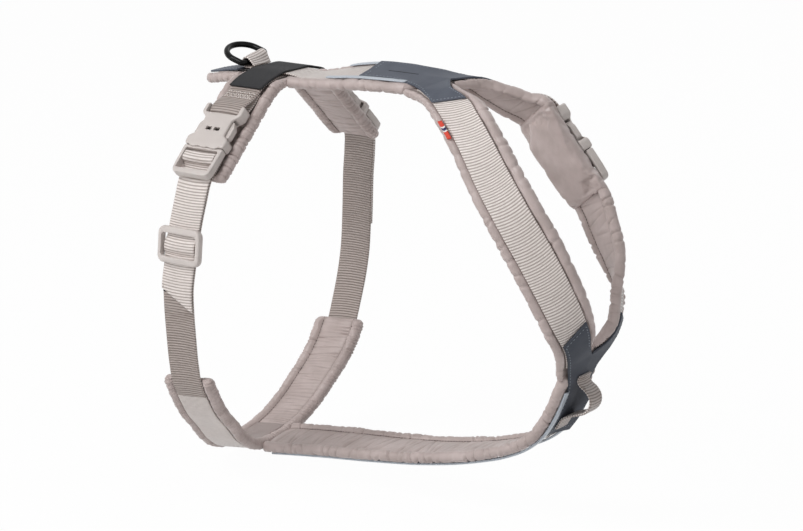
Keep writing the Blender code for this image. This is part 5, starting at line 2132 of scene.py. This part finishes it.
@dataclass
class Studio:
    """Camera at the photograph's angle, a pale floor and soft light."""

    azimuth: float = radians(35.0)
    elevation: float = radians(15.0)
    distance: float = 1.7
    aim: tuple[float, float, float] = (0.110, 0.0, 0.010)
    lens: float = 112.1
    floor: float = -0.152
    background: str = "FFFFFF"

    def dress(self) -> None:
        """Set up the scene round the harness."""
        self.camera()
        self.lamps()
        self.ground()
        bpy.context.scene.view_settings.view_transform = "Standard"

    def camera(self) -> None:
        """Place the camera."""
        level = cos(self.elevation)
        away = Vector((sin(self.azimuth) * level, -cos(self.azimuth) * level, sin(self.elevation)))
        data = bpy.data.cameras.new("camera")
        data.lens = self.lens
        data.sensor_width = 36.0
        camera = bpy.data.objects.new("camera", data)
        camera.location = Vector(self.aim) + away * self.distance
        camera.rotation_euler = (-away).to_track_quat("-Z", "Y").to_euler()
        bpy.context.scene.collection.objects.link(camera)
        bpy.context.scene.camera = camera

    def lamps(self) -> None:
        """Hang soft boxes and set the world's light."""
        boxes = (
            ("key", (-0.5, -1.2, 1.5), 0.7, 20.0),
            ("side", (-1.1, -1.4, 0.1), 0.9, 6.0),
            ("fill", (1.6, -0.8, 0.6), 1.0, 3.5),
            ("rear", (0.2, 1.5, 1.2), 1.2, 5.0),
        )
        for name, place, size, power in boxes:
            data = bpy.data.lights.new(name, "AREA")
            data.size = size
            data.energy = power
            lamp = bpy.data.objects.new(name, data)
            lamp.location = place
            lamp.rotation_euler = (Vector(self.aim) - Vector(place)).to_track_quat("-Z", "Y").to_euler()
            bpy.context.scene.collection.objects.link(lamp)
        world = bpy.data.worlds.new("studio")
        world.use_nodes = True
        bpy.context.scene.world = world
        tree = world.node_tree
        plain = tree.nodes["Background"]
        plain.inputs["Color"].default_value = linear("F4F2F0")
        plain.inputs["Strength"].default_value = 0.27
        white = add_node(tree, "ShaderNodeBackground", {"Color": linear(self.background), "Strength": 1.0})
        mix = add_node(
            tree,
            "ShaderNodeMixShader",
            links={0: self.seen(tree), 1: plain.outputs[0], 2: white.outputs[0]},
        )
        tree.links.new(mix.outputs[0], tree.nodes["World Output"].inputs["Surface"])

    @staticmethod
    def seen(tree: bpy.types.NodeTree) -> bpy.types.NodeSocket:
        """Whether the camera sees a thing, straight or in a reflection.

        Args:
            tree: The tree to add the nodes to.

        Returns:
            A socket that is 1 where it does.
        """
        path = add_node(tree, "ShaderNodeLightPath")
        total = path.outputs["Is Camera Ray"]
        for ray in ("Is Glossy Ray", "Is Transmission Ray"):
            node = add_node(
                tree, "ShaderNodeMath", links={0: total, 1: path.outputs[ray]}, operation="MAXIMUM"
            )
            total = node.outputs[0]
        return total

    def ground(self) -> None:
        """Lay the floor, which shows white but keeps the harness's shadow."""
        form = bmesh.new()
        bmesh.ops.create_grid(form, x_segments=1, y_segments=1, size=6.0)
        bmesh.ops.translate(form, verts=form.verts, vec=(0.0, 0.0, self.floor))
        mesh = bpy.data.meshes.new("floor")
        form.to_mesh(mesh)
        form.free()
        material = bpy.data.materials.new("pale_studio_paper")
        material.use_nodes = True
        tree = material.node_tree
        shader = tree.nodes["Principled BSDF"]
        shader.inputs["Base Color"].default_value = linear("F2F2F2")
        shader.inputs["Roughness"].default_value = 0.9
        glow = add_node(tree, "ShaderNodeEmission", {"Color": linear(self.background), "Strength": 1.0})
        share = add_node(tree, "ShaderNodeMath", {1: 0.975}, {0: self.seen(tree)}, operation="MULTIPLY")
        mix = add_node(
            tree,
            "ShaderNodeMixShader",
            links={0: share.outputs[0], 1: shader.outputs[0], 2: glow.outputs[0]},
        )
        tree.links.new(mix.outputs[0], tree.nodes["Material Output"].inputs["Surface"])
        mesh.materials.append(material)
        carried("floor", mesh)


def main() -> None:
    """Build every sub-assembly in order."""
    logging.basicConfig(level=logging.INFO, format="%(message)s")
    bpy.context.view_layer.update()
    lines = HarnessLines()
    Studio().dress()
    Padding(lines).dress()
    LoadWebbing(lines).dress()
    Patches(lines).dress()
    LeadPoints(lines).dress()
    girth, neck = lines.girth, lines.neck_left
    SideReleaseBuckle("girth_right", girth.axes(GIRTH_BUCKLE, BUCKLE_LIFT, 1.0)).dress()
    SideReleaseBuckle("girth_left", girth.axes(-GIRTH_BUCKLE, BUCKLE_LIFT, -1.0)).dress()
    SideReleaseBuckle("neck", neck.axes(lines.neck_buckle, BUCKLE_LIFT, 1.0)).dress()
    StrapSlider(girth.axes(girth.where(2, SLIDER_Z), WEB_LEVEL, 1.0)).dress()


if __name__ == "__main__":
    main()
